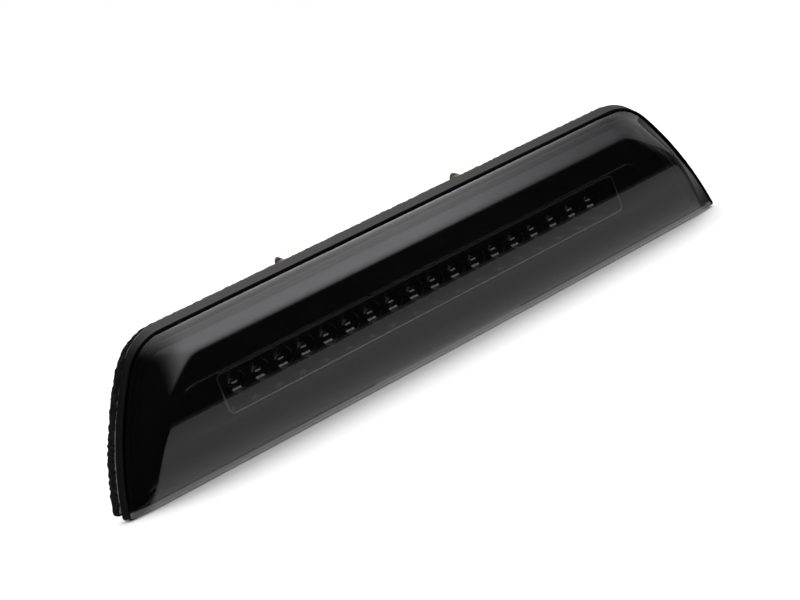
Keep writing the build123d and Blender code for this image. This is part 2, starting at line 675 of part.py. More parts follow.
def latch_pivot():
    """The centre of the latch's pivot pin."""
    end = plug_corner()
    return Vector(end.X - LATCH_SET_BACK, end.Y, end.Z + PLUG_HEIGHT / 2 + LATCH_RISE)


def latch_ear(side):
    """One of the two ears that carry the latch's pivot pin."""
    pivot = latch_pivot()
    inner = pivot.Y + side * (LATCH_WIDTH / 2 + LATCH_SIDE_GAP)
    outer = inner + side * LATCH_EAR_THICKNESS
    x_range = (pivot.X - LATCH_EAR_HALF, pivot.X + LATCH_EAR_HALF)
    z_range = (pivot.Z - LATCH_RISE - LATCH_EAR_ROOT, pivot.Z + LATCH_EAR_HALF)
    ear = box_between(x_range, sorted((inner, outer)), z_range)
    hole_start = (pivot.X, pivot.Y - PLUG_DEPTH, pivot.Z)
    hole_radius = LATCH_PIN_RADIUS + LATCH_PIN_CLEARANCE
    return ear - rod_along((0, 1, 0), hole_start, hole_radius, 2 * PLUG_DEPTH)


def connector_latch():
    """The rocking latch: a lever with a pin and a hooked nose."""
    pivot = latch_pivot()
    y_range = (pivot.Y - LATCH_WIDTH / 2, pivot.Y + LATCH_WIDTH / 2)
    half = LATCH_THICKNESS / 2
    nose_x = pivot.X + LATCH_TAIL - LATCH_LENGTH
    lever = box_between((nose_x, pivot.X + LATCH_TAIL), y_range, (pivot.Z - half, pivot.Z + half))
    nose_range = (nose_x, nose_x + LATCH_NOSE_LENGTH)
    lever += box_between(nose_range, y_range, (pivot.Z - half - LATCH_NOSE_DEPTH, pivot.Z))
    pin_reach = LATCH_WIDTH / 2 + LATCH_SIDE_GAP + LATCH_EAR_THICKNESS
    pin_start = (pivot.X, pivot.Y - pin_reach, pivot.Z)
    return lever + rod_along((0, 1, 0), pin_start, LATCH_PIN_RADIUS, 2 * pin_reach)


def connector_terminals():
    """The two crimped pins inside the plug."""
    end = plug_corner()
    pins = []
    for side in (-1, 1):
        start = (end.X - TERMINAL_START, end.Y + side * TERMINAL_PITCH / 2, end.Z)
        pins.append(rod_along((-1, 0, 0), start, TERMINAL_RADIUS, TERMINAL_LENGTH))
    return Compound(pins)


def connector_seal():
    """The soft ring round the inside of the plug's mouth."""
    end = plug_corner()
    floor_x = end.X - PLUG_LENGTH + PLUG_MOUTH
    half_y = PLUG_DEPTH / 2 - PLUG_WALL - SEAL_GAP
    half_z = PLUG_HEIGHT / 2 - PLUG_WALL - SEAL_GAP
    x_range = (floor_x - SEAL_LENGTH, floor_x - SEAL_GAP)
    ring = box_between(x_range, (end.Y - half_y, end.Y + half_y), (end.Z - half_z, end.Z + half_z))
    hole_y = half_y - SEAL_SECTION
    hole_z = half_z - SEAL_SECTION
    hole_x = (x_range[0] - OVERCUT, x_range[1] + OVERCUT)
    return ring - box_between(hole_x, (end.Y - hole_y, end.Y + hole_y), (end.Z - hole_z, end.Z + hole_z))


# ------------------------------------------------------------------ every sub-part
def main():
    os.makedirs("parts", exist_ok=True)
    write("rear_housing", rear_housing())
    write("foam_gasket", flat_ring(GASKET_EDGE, GASKET_SHIFT, 0, GASKET_THICKNESS))
    write("gasket_adhesive", flat_ring(ADHESIVE_EDGE, ADHESIVE_SHIFT, GASKET_THICKNESS, FLANGE_BACK))
    write("outer_lens", outer_lens())
    write("lens_sealant", lens_sealant())
    write("inner_bezel", inner_bezel())
    write("led_reflector", led_reflector())
    write("circuit_board", circuit_board())
    write("led_packages", led_packages())
    write("led_domes", led_domes())
    write("board_resistors", board_resistors())
    write("protection_diode", protection_diode())
    write("current_regulator", current_regulator())
    write("smoothing_capacitor", smoothing_capacitor())
    write("board_screws", board_screws())
    write("clip_screws", clip_screws())
    write("clip_foot_left", clip_foot(-CLIP_X))
    write("clip_foot_right", clip_foot(CLIP_X))
    write("clip_leaf_left", clip_leaf(-CLIP_X))
    write("clip_leaf_right", clip_leaf(CLIP_X))
    write("vent_membrane", vent_membrane())
    write("vent_cap", vent_cap())
    write("cable_grommet", cable_grommet())
    write("cable_entry", cable_entry())
    write("inner_lead_supply", inner_lead(1))
    write("inner_lead_earth", inner_lead(-1))
    write("pigtail_cable", pigtail_cable())
    write("connector_housing", connector_housing())
    write("connector_terminals", connector_terminals())
    write("connector_seal", connector_seal())
    write("connector_latch", connector_latch())


main()
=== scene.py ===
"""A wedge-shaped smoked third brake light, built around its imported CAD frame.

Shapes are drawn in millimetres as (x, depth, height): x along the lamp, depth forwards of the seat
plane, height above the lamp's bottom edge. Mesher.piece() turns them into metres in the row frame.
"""

import functools
import itertools
import json
from math import acos, atan, copysign, cos, hypot, pi, radians, sin, sqrt, tan

import bmesh
import bpy
import numpy as np
from mathutils import Matrix, Vector, noise


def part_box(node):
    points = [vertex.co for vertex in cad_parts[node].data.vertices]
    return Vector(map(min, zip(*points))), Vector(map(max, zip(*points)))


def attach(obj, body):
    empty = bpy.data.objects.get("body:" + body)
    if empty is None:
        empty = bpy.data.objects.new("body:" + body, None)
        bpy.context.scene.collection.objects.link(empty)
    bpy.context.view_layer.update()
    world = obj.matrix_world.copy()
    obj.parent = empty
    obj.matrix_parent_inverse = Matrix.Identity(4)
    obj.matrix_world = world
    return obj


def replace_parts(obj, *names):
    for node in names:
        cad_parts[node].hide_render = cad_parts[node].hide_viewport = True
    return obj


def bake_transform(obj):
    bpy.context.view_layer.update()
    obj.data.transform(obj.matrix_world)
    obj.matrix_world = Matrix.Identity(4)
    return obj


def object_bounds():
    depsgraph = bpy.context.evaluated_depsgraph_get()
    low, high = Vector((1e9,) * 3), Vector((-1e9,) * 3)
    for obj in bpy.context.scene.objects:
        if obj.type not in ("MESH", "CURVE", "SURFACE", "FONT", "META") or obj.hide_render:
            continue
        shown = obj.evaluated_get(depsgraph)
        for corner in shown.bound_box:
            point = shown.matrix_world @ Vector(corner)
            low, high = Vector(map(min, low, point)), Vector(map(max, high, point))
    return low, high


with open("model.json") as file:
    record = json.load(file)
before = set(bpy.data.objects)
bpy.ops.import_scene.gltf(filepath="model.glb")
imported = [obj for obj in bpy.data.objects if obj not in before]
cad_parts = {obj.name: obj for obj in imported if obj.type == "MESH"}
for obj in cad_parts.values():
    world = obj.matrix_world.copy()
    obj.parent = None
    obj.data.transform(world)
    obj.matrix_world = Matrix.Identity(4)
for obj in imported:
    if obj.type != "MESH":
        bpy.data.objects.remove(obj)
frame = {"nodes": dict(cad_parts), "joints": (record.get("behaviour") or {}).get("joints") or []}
cad_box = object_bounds()
scene = bpy.context.scene
MM = 0.001


def box_mm(node):
    """A CAD node's lowest and highest corners in millimetres."""
    low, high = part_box(node)
    return low / MM, high / MM


HOUSING_LOW, HOUSING_HIGH = box_mm("rear_housing")
BOTTOM_Z = HOUSING_LOW.z
LAMP_HEIGHT = HOUSING_HIGH.z - HOUSING_LOW.z

# The lamp's outline: a taper with bowed ends and rounded top corners.
HALF_LENGTH = 171.0
TOP_HALF_LENGTH = 137.5
SIDE_BULGE = 5.3
SIDE_LEAN = 1.12
CORNER_RADIUS = 25.0
SMALLEST_CORNER = 6.0
FOOT_RADIUS = 2.0
# A top corner's straight side ends about this many radii below the top; the passes refine it.
CORNER_START = 0.37
CORNER_PASSES = 6
FOOT_STEPS, SIDE_STEPS, CORNER_STEPS, ALONG_STEPS = 8, 40, 24, 120

# The lens: its rim's (side, bottom, top) insets, its front face's side inset, and its side profile as
# (depth, height, outward direction in degrees).
RIM_DEPTH = 7.2
RIM_INSET = (2.2, 0.8, 3.75)
EDGE_INSET_LOW = 11.8
EDGE_INSET_RISE = 0.10
LENS_BACK = 5.9
LENS_WALL = 2.5
LENS_EDGE_ROUND = 7.0
LENS_INNER_ROUND = 4.0
SHOULDER_ROUND = 3.5
SHOULDER_SPAN = (30.0, 54.0)
CROWN_DROP = 2.0
FRONT_RUN = 30.0
SKIRT_GAP = 0.05
LEAST_RISE = 0.02
FRONT_STEPS, BEND_STEPS, WALL_STEPS, SKIRT_STEPS, PROFILE_STEPS = 70, 15, 7, 3, 170
PROFILE = ((8.5, 64.35, 90.0), (18.6, 56.0, 52.0), (24.0, 38.5, 0.0), (18.8, 19.0, -28.0))
LIP = (11.0, 0.8)
LIP_SHRINK = 0.56
PROFILE_START, PROFILE_END = (1, -0.04), (-0.62, -1)
NOSE_DEPTH = 24.0
CROWN_RADIUS = 6000.0

# Vertices closer than this are one, and edges shorter than this vanish, in metres.
MERGE_DISTANCE = 1e-6
SHORTEST_EDGE = 1e-7


# ---------- meshes
def add_object(name, data):
    """An object in the scene."""
    made = bpy.data.objects.new(name, data)
    scene.collection.objects.link(made)
    return made


class Mesher:
    """Collects grids of points into one mesh."""

    def __init__(self):
        self.points = []
        self.faces = []

    def grid(self, points, closed=False, flip=False):
        """Quads between rows of points; closed joins the last column to the first."""
        points = np.asarray(points, float)
        rows, columns = points.shape[:2]
        start = len(self.points)
        for r in range(rows - 1):
            for c in range(columns if closed else columns - 1):
                a, b = (start + r * columns + k % columns for k in (c, c + 1))
                quad = (a, b, b + columns, a + columns)
                self.faces.append(quad[::-1] if flip else quad)
        self.points += [tuple(p) for p in points.reshape(-1, 3)]

    def bar(self, rings):
        """A solid bar through rings of points, with a flat face at each end."""
        for ring in (rings[0], rings[-1]):
            start = len(self.points)
            self.points += [tuple(p) for p in ring]
            self.faces.append(tuple(range(start, start + len(ring))))
        self.grid(rings, closed=True)

    def box(self, low, high):
        """A block between two corners, in (x, depth, height)."""
        start = len(self.points)
        self.points += itertools.product(*zip(low, high))
        for quad in ((0, 1, 3, 2), (4, 6, 7, 5), (0, 4, 5, 1), (2, 3, 7, 6), (0, 2, 6, 4), (1, 5, 7, 3)):
            self.faces.append(tuple(start + i for i in quad))

    def strip(self, name, material):
        """The mesh as an object, its points being row-frame millimetres, that still needs its bodies."""
        mesh = bpy.data.meshes.new(name)
        mesh.from_pydata([tuple(p) for p in np.array(self.points) * MM], [], self.faces)
        work = bmesh.new()
        work.from_mesh(mesh)
        bmesh.ops.remove_doubles(work, verts=work.verts, dist=MERGE_DISTANCE)
        bmesh.ops.dissolve_degenerate(work, edges=work.edges, dist=SHORTEST_EDGE)
        bmesh.ops.recalc_face_normals(work, faces=work.faces)
        work.to_mesh(mesh)
        work.free()
        mesh.shade_smooth()
        mesh.materials.append(material)
        return add_object(name, mesh)

    def piece(self, name, slot_name, material, replaced=None):
        """The mesh, drawn in (x, depth, height), as a piece that rides on the lamp."""
        self.points = [(x, -depth, height + BOTTOM_Z) for x, depth, height in self.points]
        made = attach(self.strip(name, material), "lamp")
        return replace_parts(made, replaced) if replaced else made


def bevelled(piece, width, angle):
    """Rounds a piece's edges that are sharper than an angle in degrees."""
    modifier = piece.modifiers.new("bevel", "BEVEL")
    modifier.width = width * MM
    modifier.segments = 2
    modifier.limit_method = "ANGLE"
    modifier.angle_limit = radians(angle)


# ---------- the lamp's outline
def half_length_at(height):
    """Half the lamp's length at a height."""
    part_way = height / LAMP_HEIGHT
    straight = HALF_LENGTH + (TOP_HALF_LENGTH - HALF_LENGTH) * part_way
    return straight + 4 * SIDE_BULGE * part_way * (1 - part_way)


def slope_at(height):
    """How fast the half length changes with height."""
    part_way = height / LAMP_HEIGHT
    return ((TOP_HALF_LENGTH - HALF_LENGTH) + 4 * SIDE_BULGE * (1 - 2 * part_way)) / LAMP_HEIGHT


def corner_start(high, radius, drop, passes=1):
    """The angle and height at which a round top corner begins, first looked for at a drop below its top."""
    height = high - drop
    for _ in range(passes):
        angle = atan(-slope_at(height))
        height = high - radius + radius * sin(angle)
    return angle, height


def cornered_half(height, side, high, radius, angle, start):
    """Half the width at a height of the outline moved in by side, with a round top corner."""
    edge = half_length_at(min(height, start)) - side * SIDE_LEAN
    if height <= start:
        return edge
    rise = min(height, high) - (high - radius)
    return edge - radius * cos(angle) + sqrt(max(radius * radius - rise * rise, 0.0))


def half_width(height, side, top):
    """Half the width of an inset outline at a height."""
    radius, high = max(CORNER_RADIUS - side, SMALLEST_CORNER), LAMP_HEIGHT - top
    corner = corner_start(high, radius, CORNER_START * radius, CORNER_PASSES)
    return cornered_half(height, side, high, radius, *corner)


def outline_loop(side, bottom, top):
    """The inset outline as a closed loop of (x, height), starting at the bottom's left."""
    radius, high = max(CORNER_RADIUS - side, SMALLEST_CORNER), LAMP_HEIGHT - top
    angle, side_top = corner_start(high, radius, CORNER_START * radius)
    centre_x = half_length_at(side_top) - side * SIDE_LEAN - radius * cos(angle)
    foot_x = half_length_at(bottom) - side * SIDE_LEAN - FOOT_RADIUS
    foot_h = bottom + FOOT_RADIUS
    right = []
    for turn in np.linspace(-pi / 2, 0, FOOT_STEPS + 1):
        right.append((foot_x + FOOT_RADIUS * cos(turn), foot_h + FOOT_RADIUS * sin(turn)))
    for k in range(1, SIDE_STEPS):
        h = foot_h + (side_top - foot_h) * k / SIDE_STEPS
        right.append((half_length_at(h) - side * SIDE_LEAN, h))
    for turn in np.linspace(angle, pi / 2, CORNER_STEPS + 1):
        right.append((centre_x + radius * cos(turn), high - radius + radius * sin(turn)))
    left = [(-x, h) for x, h in right[::-1]]
    shares = [1 - 2 * k / ALONG_STEPS for k in range(1, ALONG_STEPS)]
    top_run = [(centre_x * share, high) for share in shares]
    bottom_run = [(-foot_x * share, bottom) for share in shares]
    return np.array(bottom_run + right + top_run + left)


# ---------- lens
def clamped_spline(points, first, last, count):
    """A smooth curve through points with given end directions, evenly sampled."""
    p = np.array(points, float)
    chord = np.linalg.norm(np.diff(p, axis=0), axis=1)
    t = np.concatenate([[0], np.cumsum(chord)])
    n = len(p)
    system = np.eye(n)
    right = np.zeros((n, 2))
    right[0], right[-1] = (np.array(v) / np.linalg.norm(v) for v in (first, last))
    for i in range(1, n - 1):
        a, b = chord[i - 1], chord[i]
        system[i, i - 1:i + 2] = b, 2 * (a + b), a
        right[i] = 3 * (b * (p[i] - p[i - 1]) / a + a * (p[i + 1] - p[i]) / b)
    slopes = np.linalg.solve(system, right)
    where = np.linspace(0, t[-1], count)
    i = np.minimum(np.searchsorted(t, where, side="right") - 1, n - 2)
    h = chord[i][:, None]
    s = (where - t[i])[:, None] / h
    ends = (1 + 2 * s) * (1 - s) ** 2 * p[i] + s * s * (3 - 2 * s) * p[i + 1]
    return ends + s * (1 - s) ** 2 * h * slopes[i] + s * s * (s - 1) * h * slopes[i + 1]


def profile_curve(shrink, count):
    """The wedge's side profile as (depth, height), moved inwards by shrink."""
    points = []
    for depth, height, angle in PROFILE:
        turn = radians(angle)
        points.append((depth - shrink * cos(turn), height - shrink * sin(turn)))
    points.append((LIP[0] - LIP_SHRINK * shrink, LIP[1] + shrink))
    return clamped_spline(points, PROFILE_START, PROFILE_END, count)


def rim_half(height, shrink):
    """Half the width of the lens's skirt at a height."""
    return half_width(height, RIM_INSET[0] + shrink, RIM_INSET[2] + shrink)


def front_half(height, shrink):
    """Half the width of the lens's front face at a height, where its end walls begin."""
    side = (EDGE_INSET_LOW + EDGE_INSET_RISE * height) / SIDE_LEAN
    return half_width(height, side + shrink, RIM_INSET[2] + shrink)


def rounded_bend(start, corner, end, radius, count):
    """Points from start to end round a corner, as a smooth bend."""
    start, corner, end = (np.array(v, float) for v in (start, corner, end))
    a, b = start - corner, end - corner
    la, lb = np.linalg.norm(a), np.linalg.norm(b)
    if la < 1e-9 or lb < 1e-9:
        return [corner] * count
    half = acos(max(-1, min(1, float((a / la) @ (b / lb))))) / 2
    reach = min(radius / max(tan(half), 0.05), 0.9 * lb, 0.9 * la)
    first, last = corner + a / la * reach, corner + b / lb * reach
    return [(1 - t) ** 2 * first + 2 * t * (1 - t) * corner + t * t * last for t in np.linspace(0, 1, count)]


def smooth_step(value, low, high):
    """A soft 0 to 1 ramp of value between low and high."""
    t = min(max((value - low) / (high - low), 0.0), 1.0)
    return t * t * (3 - 2 * t)


def crowned(depth, x):
    """A depth carried back by the lens's lengthwise curve."""
    return depth - x * x / (2 * (CROWN_RADIUS - NOSE_DEPTH + depth))


def lens_row(depth, height, face_depth, shrink, round_radius):
    """One level of the lens: across the front, round both ends and back to the rim."""
    height = min(height, LAMP_HEIGHT - RIM_INSET[2] - shrink)
    rim = rim_half(height, shrink)
    share = min(max((depth - RIM_DEPTH) / (face_depth - RIM_DEPTH), 0.0), 1.0)
    edge = rim + (front_half(height, shrink) - rim) * share
    knee = min(max(depth - CROWN_DROP * share, LENS_BACK + LEAST_RISE), RIM_DEPTH)
    corner = (edge, max(crowned(depth, edge), knee + LEAST_RISE / 2))
    inward = (edge - FRONT_RUN, crowned(depth, edge - FRONT_RUN))
    radius = round_radius * (1 + SHOULDER_ROUND * smooth_step(height, *SHOULDER_SPAN))
    bend = rounded_bend(inward, corner, (rim, knee), radius, BEND_STEPS)
    half = [(x, crowned(depth, x)) for x in bend[0][0] * np.arange(FRONT_STEPS) / FRONT_STEPS]
    half += [tuple(p) for p in bend]
    x, d = half[-1]
    for t in np.arange(1, WALL_STEPS + 1) / WALL_STEPS:
        half.append((x + (rim - x) * t, d + (knee - d) * t))
    for t in np.arange(1, SKIRT_STEPS + 1) / SKIRT_STEPS:
        half.append((rim, knee + (LENS_BACK - knee) * t))
    right = [(x, d, height) for x, d in half]
    left = [(-x, d, height) for x, d in half[:0:-1]]
    return left + right


def lens_sheet(shrink, round_radius):
    """The whole lens surface as rows of points, from the top of the rim to the bottom."""
    curve = profile_curve(shrink, PROFILE_STEPS)
    top_depth, top_height = curve[0]
    lip_depth, lip_height = curve[-1]
    levels = []
    for depth in np.linspace(LENS_BACK + SKIRT_GAP, top_depth, 4)[:-1]:
        levels.append((depth, top_height, top_depth))
    levels += [(depth, height, depth) for depth, height in curve]
    for depth in np.linspace(lip_depth, LENS_BACK + SKIRT_GAP, 5)[1:]:
        levels.append((depth, lip_height, lip_depth))
    return np.array([lens_row(*level, shrink, round_radius) for level in levels])


def boundary_strip(outer, inner):
    """Quads between the edges of two grids of the same shape."""
    def edge(grid):
        return np.concatenate([grid[0], grid[1:, -1], grid[-1, -2::-1], grid[-2:0:-1, 0]])

    return np.stack([edge(outer), edge(inner)])


def build_lens(material):
    """The lens: an outer and an inner skin joined round the rim."""
    outer = lens_sheet(0.0, LENS_EDGE_ROUND)
    inner = lens_sheet(LENS_WALL, LENS_INNER_ROUND)
    mesh = Mesher()
    mesh.grid(outer)
    mesh.grid(inner, flip=True)
    mesh.grid(boundary_strip(outer, inner), closed=True)
    mesh.piece("lens_shell", "smoked_lens", material, "outer_lens")


# ---------- bezel
BEZEL_INSET = 5.8
BEZEL_BACK = 5.6
BEZEL_EDGE = BEZEL_BACK + 0.4
BEZEL_CURVE = profile_curve(BEZEL_INSET, 180)
PANEL_DEPTH = 9.7
FLUTE_PITCH = 1.8
FLUTE_STEP = FLUTE_PITCH / 6
FLUTE_RELIEF = 0.35
FLUTE_SINK = 0.5

# The opening between the panel and the hood: its inset at the sides, its heights and its top corners.
OPENING_SIDE = 15.5
OPENING_LOW, OPENING_HIGH = 6.0, LAMP_HEIGHT - 14.0
OPENING_RADIUS = 9.0
OPENING_CORNER = corner_start(OPENING_HIGH, OPENING_RADIUS, 4.0)
OPENING_STEPS = 40
BEAD_SIZE = 0.7
BEAD_STEPPED = 0.25
WALL_FOOT = PANEL_DEPTH - 0.8
CREST_DROP = 0.2
HOOD_TOP = LAMP_HEIGHT - 16.0
HOOD_OUTSET = 0.3

# The raised border round the light unit.
FRAME_HALF = 131.0
FRAME_LOW, FRAME_HIGH = 18.6, 39.2
FRAME_RADIUS = 8.0
FRAME_RISE = 0.9
FRAME_EDGE = 0.35

# The light unit's trough, from its mouth at the panel back to the plate that holds the cups.
MOUTH_HALF = 112.5
MOUTH_LOW, MOUTH_HIGH = 21.0, 38.0
MOUTH_MIDDLE = (MOUTH_LOW + MOUTH_HIGH) / 2
MOUTH_DEPTH = 10.6
REAR_HALF = 109.2
REAR_LOW, REAR_HIGH = 25.8, 35.6
PLATE_DEPTH = 4.9


def opening_half(height):
    """Half the width of the bezel's opening at a height."""
    return cornered_half(height, OPENING_SIDE, OPENING_HIGH, OPENING_RADIUS, *OPENING_CORNER)


def frame_distance(x, h):
    """Signed distance to the raised border's rounded rectangle, centred on x = 0."""
    qx = abs(x) - FRAME_HALF + FRAME_RADIUS
    qh = abs(h - (FRAME_LOW + FRAME_HIGH) / 2) - (FRAME_HIGH - FRAME_LOW) / 2 + FRAME_RADIUS
    return hypot(max(qx, 0), max(qh, 0)) + min(max(qx, qh), 0) - FRAME_RADIUS


def panel_depth(x, h):
    """Depth of the bezel's panel: fluted, with a raised smooth border round the light unit."""
    flute = FLUTE_RELIEF * sqrt(abs(sin(pi * x / FLUTE_PITCH)))
    raised = 1 - smooth_step(frame_distance(x, h), -FRAME_EDGE, FRAME_EDGE)
    return PANEL_DEPTH - FLUTE_SINK + flute * (1 - raised) + FRAME_RISE * raised


def add_panel(mesh):
    """The panel, in a band above, below and at each end of the light unit's mouth."""
    below = (
        np.linspace(OPENING_LOW, FRAME_LOW - 0.6, 8),
        np.linspace(FRAME_LOW - 0.4, FRAME_LOW + 0.4, 7),
        [MOUTH_LOW],
    )
    above = (
        [MOUTH_HIGH],
        np.linspace(FRAME_HIGH - 0.4, FRAME_HIGH + 0.4, 7),
        np.linspace(FRAME_HIGH + 1, OPENING_HIGH, 10),
    )
    columns = round((half_length_at(OPENING_LOW) - OPENING_SIDE) * 2 / FLUTE_STEP)
    for heights in (np.concatenate(below), np.concatenate(above)):
        rows = []
        for h in heights:
            half = opening_half(h)
            rows.append([(x, panel_depth(x, h), h) for x in np.linspace(-half, half, columns)])
        mesh.grid(rows)
    for sign in (1, -1):
        rows = []
        for h in np.linspace(MOUTH_LOW, MOUTH_HIGH, 16):
            across = np.linspace(MOUTH_HALF - 0.2, opening_half(h), 90)
            rows.append([(sign * x, panel_depth(x, h), h) for x in across])
        mesh.grid(rows)


def opening_loop():
    """The opening's outline as a closed loop of (x, height), evenly stepped."""
    side_top = OPENING_HIGH - OPENING_RADIUS * 0.62
    right = [(opening_half(h), h) for h in np.linspace(OPENING_LOW, side_top, OPENING_STEPS)]
    for turn in np.linspace(OPENING_CORNER[0], pi / 2, OPENING_STEPS + 1)[1:-1]:
        h = OPENING_HIGH - OPENING_RADIUS + OPENING_RADIUS * sin(turn)
        right.append((opening_half(h), h))
    right.append((opening_half(OPENING_HIGH), OPENING_HIGH))
    left = [(-x, h) for x, h in right[::-1]]
    return resampled(right + left, FLUTE_STEP)


def resampled(points, step):
    """A closed loop with its points evenly spaced."""
    p = np.array(list(points) + [points[0]], float)
    lengths = np.concatenate([[0], np.cumsum(np.linalg.norm(np.diff(p, axis=0), axis=1))])
    where = np.linspace(0, lengths[-1], int(lengths[-1] / step), endpoint=False)
    return np.stack([np.interp(where, lengths, p[:, i]) for i in (0, 1)], axis=1)


def loop_normals(loop):
    """Outward normals of a closed loop of (x, height)."""
    along = np.roll(loop, -3, axis=0) - np.roll(loop, 3, axis=0)
    along /= np.maximum(np.linalg.norm(along, axis=1), 1e-9)[:, None]
    return along[:, ::-1] * (1, -1)


def bead_sizes(loop):
    """How far each point of the opening's loop stands up in the row of small beads, from 0 to 1."""
    lengths = np.cumsum(np.linalg.norm(loop - np.roll(loop, 1, axis=0), axis=1))
    return np.abs(np.sin(pi * lengths / FLUTE_PITCH))


def hood_depth(x, h):
    """Depth of the bezel's front face, just behind the lens."""
    on_profile = float(np.interp(-h, -BEZEL_CURVE[:, 1], BEZEL_CURVE[:, 0])) - x * x / (2 * CROWN_RADIUS)
    height = min(h, HOOD_TOP)
    rim, edge = rim_half(height, BEZEL_INSET), front_half(height, BEZEL_INSET)
    share = min(max((rim - abs(x)) / (rim - edge), 0.0), 1.0)
    return max(RIM_DEPTH + (on_profile - RIM_DEPTH) * share, BEZEL_EDGE)


def hood_outline(loop):
    """For each point of the opening, the point beyond it at the bezel's outer edge."""
    side = RIM_INSET[0] + BEZEL_INSET + HOOD_OUTSET
    top = RIM_INSET[2] + BEZEL_INSET
    low, high = RIM_INSET[1] + BEZEL_INSET - 3.0, LAMP_HEIGHT - top - 0.5
    outer = []
    for x, h in loop:
        oh = low + (high - low) * ((h - OPENING_LOW) / (OPENING_HIGH - OPENING_LOW))
        ratio = abs(x) / max(opening_half(h), 1e-6)
        outer.append((copysign(half_width(oh, side, top) * min(ratio, 1.0), x), oh))
    return np.array(outer)


def at_depth(loop, depth):
    """A loop of (x, height) as (x, depth, height)."""
    return np.insert(loop, 1, depth, axis=1)


def add_opening_wall(mesh, loop, inwards):
    """The beaded wall from the panel forwards to the hood."""
    crest = np.array([hood_depth(x, h) - CREST_DROP for x, h in loop])
    rows = []
    for t in np.linspace(0, 1, 7):
        swell = BEAD_SIZE * (0.55 + 0.45 * smooth_step(t, 0.5, 1.0))
        rows.append(at_depth(loop + inwards * swell, WALL_FOOT + (crest - WALL_FOOT) * t))
    mesh.grid(rows, closed=True)


def add_hood(mesh, loop, inwards, beads):
    """The face from the opening out to the bezel's edge, and its short return to the back."""
    outline = hood_outline(loop)
    rows = []
    for t in np.linspace(0, 1, 9):
        swell = BEAD_SIZE * (1 - smooth_step(t, 0.0, 0.15))
        stepped = BEAD_STEPPED * (1 - smooth_step(t, 0.0, 0.12))
        ring = (loop + inwards * swell) * (1 - t) + outline * t
        depths = np.array([hood_depth(x, h) for x, h in ring])
        rows.append(at_depth(ring, depths - CREST_DROP + stepped * beads))
    edge = depths - CREST_DROP
    for t in (1 / 3, 2 / 3, 1):
        rows.append(at_depth(outline, edge + (BEZEL_EDGE - edge) * t))
    mesh.grid(rows, closed=True)


def build_bezel(material):
    """The fluted panel, the beaded wall of its opening, and the hood behind the lens."""
    mesh = Mesher()
    add_panel(mesh)
    loop = opening_loop()
    beads = bead_sizes(loop)
    inwards = -loop_normals(loop) * beads[:, None]
    add_opening_wall(mesh, loop, inwards)
    add_hood(mesh, loop, inwards, beads)
    mesh.piece("bezel_surround", "bezel_plastic", material, "inner_bezel")


# ---------- light unit
LED_COUNT = 18
LED_PITCH = 12.0
LED_HEIGHT = 29.2
LED_ROW_HALF = LED_PITCH * LED_COUNT / 2
LED_PLACES = [(k - (LED_COUNT - 1) / 2) * LED_PITCH for k in range(LED_COUNT)]
CUP_FLOOR_DEPTH = 1.3
CUP_FLOOR_RADIUS = 2.7
CUP_MOUTH_RADIUS = 4.7
CUP_LIP, CUP_LIP_HEIGHT = 0.25, 0.12
CUP_SEGMENTS = 40
DIP = 0.9
DIP_BELOW, DIP_ABOVE, DIP_LIFT = 0.8, 0.5, 0.25
END_RIBS, END_RIB_SIZE = 5, 0.55
END_BELOW, END_ABOVE = 0.6, 0.4
LIP_RADIUS = 2.2
LIP_REACH = 0.6
LIP_RISE = 0.4
LIP_BASE, LIP_BACK = MOUTH_DEPTH - 0.15, MOUTH_DEPTH - 1.2

# An LED's package, and its plated ledges as (half length, start above the LED's centre, width).
PACKAGE_HALF = 2.0
PACKAGE_BACK, PACKAGE_FRONT = -0.4, 0.9
LEDGES = ((2.1, -2.1, 0.75), (1.3, 0.9, 0.6))
LEDGE_BACK, LEDGE_FRONT = 0.85, 1.15
LEDGE_LEAN = 0.8


def cup_cell(mesh, x):
    """One bright cup and the oblong of plate round its mouth."""
    mouth_height = (REAR_LOW + REAR_HIGH) / 2
    angles = [2 * pi * k / CUP_SEGMENTS for k in range(CUP_SEGMENTS)]

    def ring(depth, centre, reach_x, reach_h):
        return [(x + reach_x * cos(a), depth, centre + reach_h * sin(a)) for a in angles]

    rows = []
    for t in np.linspace(0, 1, 9):
        radius = CUP_FLOOR_RADIUS + (CUP_MOUTH_RADIUS - CUP_FLOOR_RADIUS) * sin(t * pi / 2)
        depth = CUP_FLOOR_DEPTH + (PLATE_DEPTH - CUP_LIP - CUP_FLOOR_DEPTH) * t
        rows.append(ring(depth, LED_HEIGHT + (mouth_height - LED_HEIGHT) * t, radius, radius))
    lip_x, lip_h = CUP_MOUTH_RADIUS + CUP_LIP, CUP_MOUTH_RADIUS + CUP_LIP_HEIGHT
    rows.append(ring(PLATE_DEPTH, mouth_height, lip_x, lip_h))
    plate = []
    for a in angles:
        reach = 0.5 / max(abs(cos(a)) / LED_PITCH, abs(sin(a)) / (REAR_HIGH - REAR_LOW))
        plate.append((x + reach * cos(a), PLATE_DEPTH, mouth_height + reach * sin(a)))
    rows.append(plate)
    mesh.grid(rows, closed=True)


def trough_at(t):
    """The trough's depth, half length and lower and upper height, from its plate (0) to its mouth (1)."""
    depth = PLATE_DEPTH + (MOUTH_DEPTH - PLATE_DEPTH) * t
    half = REAR_HALF + (MOUTH_HALF - REAR_HALF) * t
    return depth, half, REAR_LOW + (MOUTH_LOW - REAR_LOW) * t, REAR_HIGH + (MOUTH_HIGH - REAR_HIGH) * t


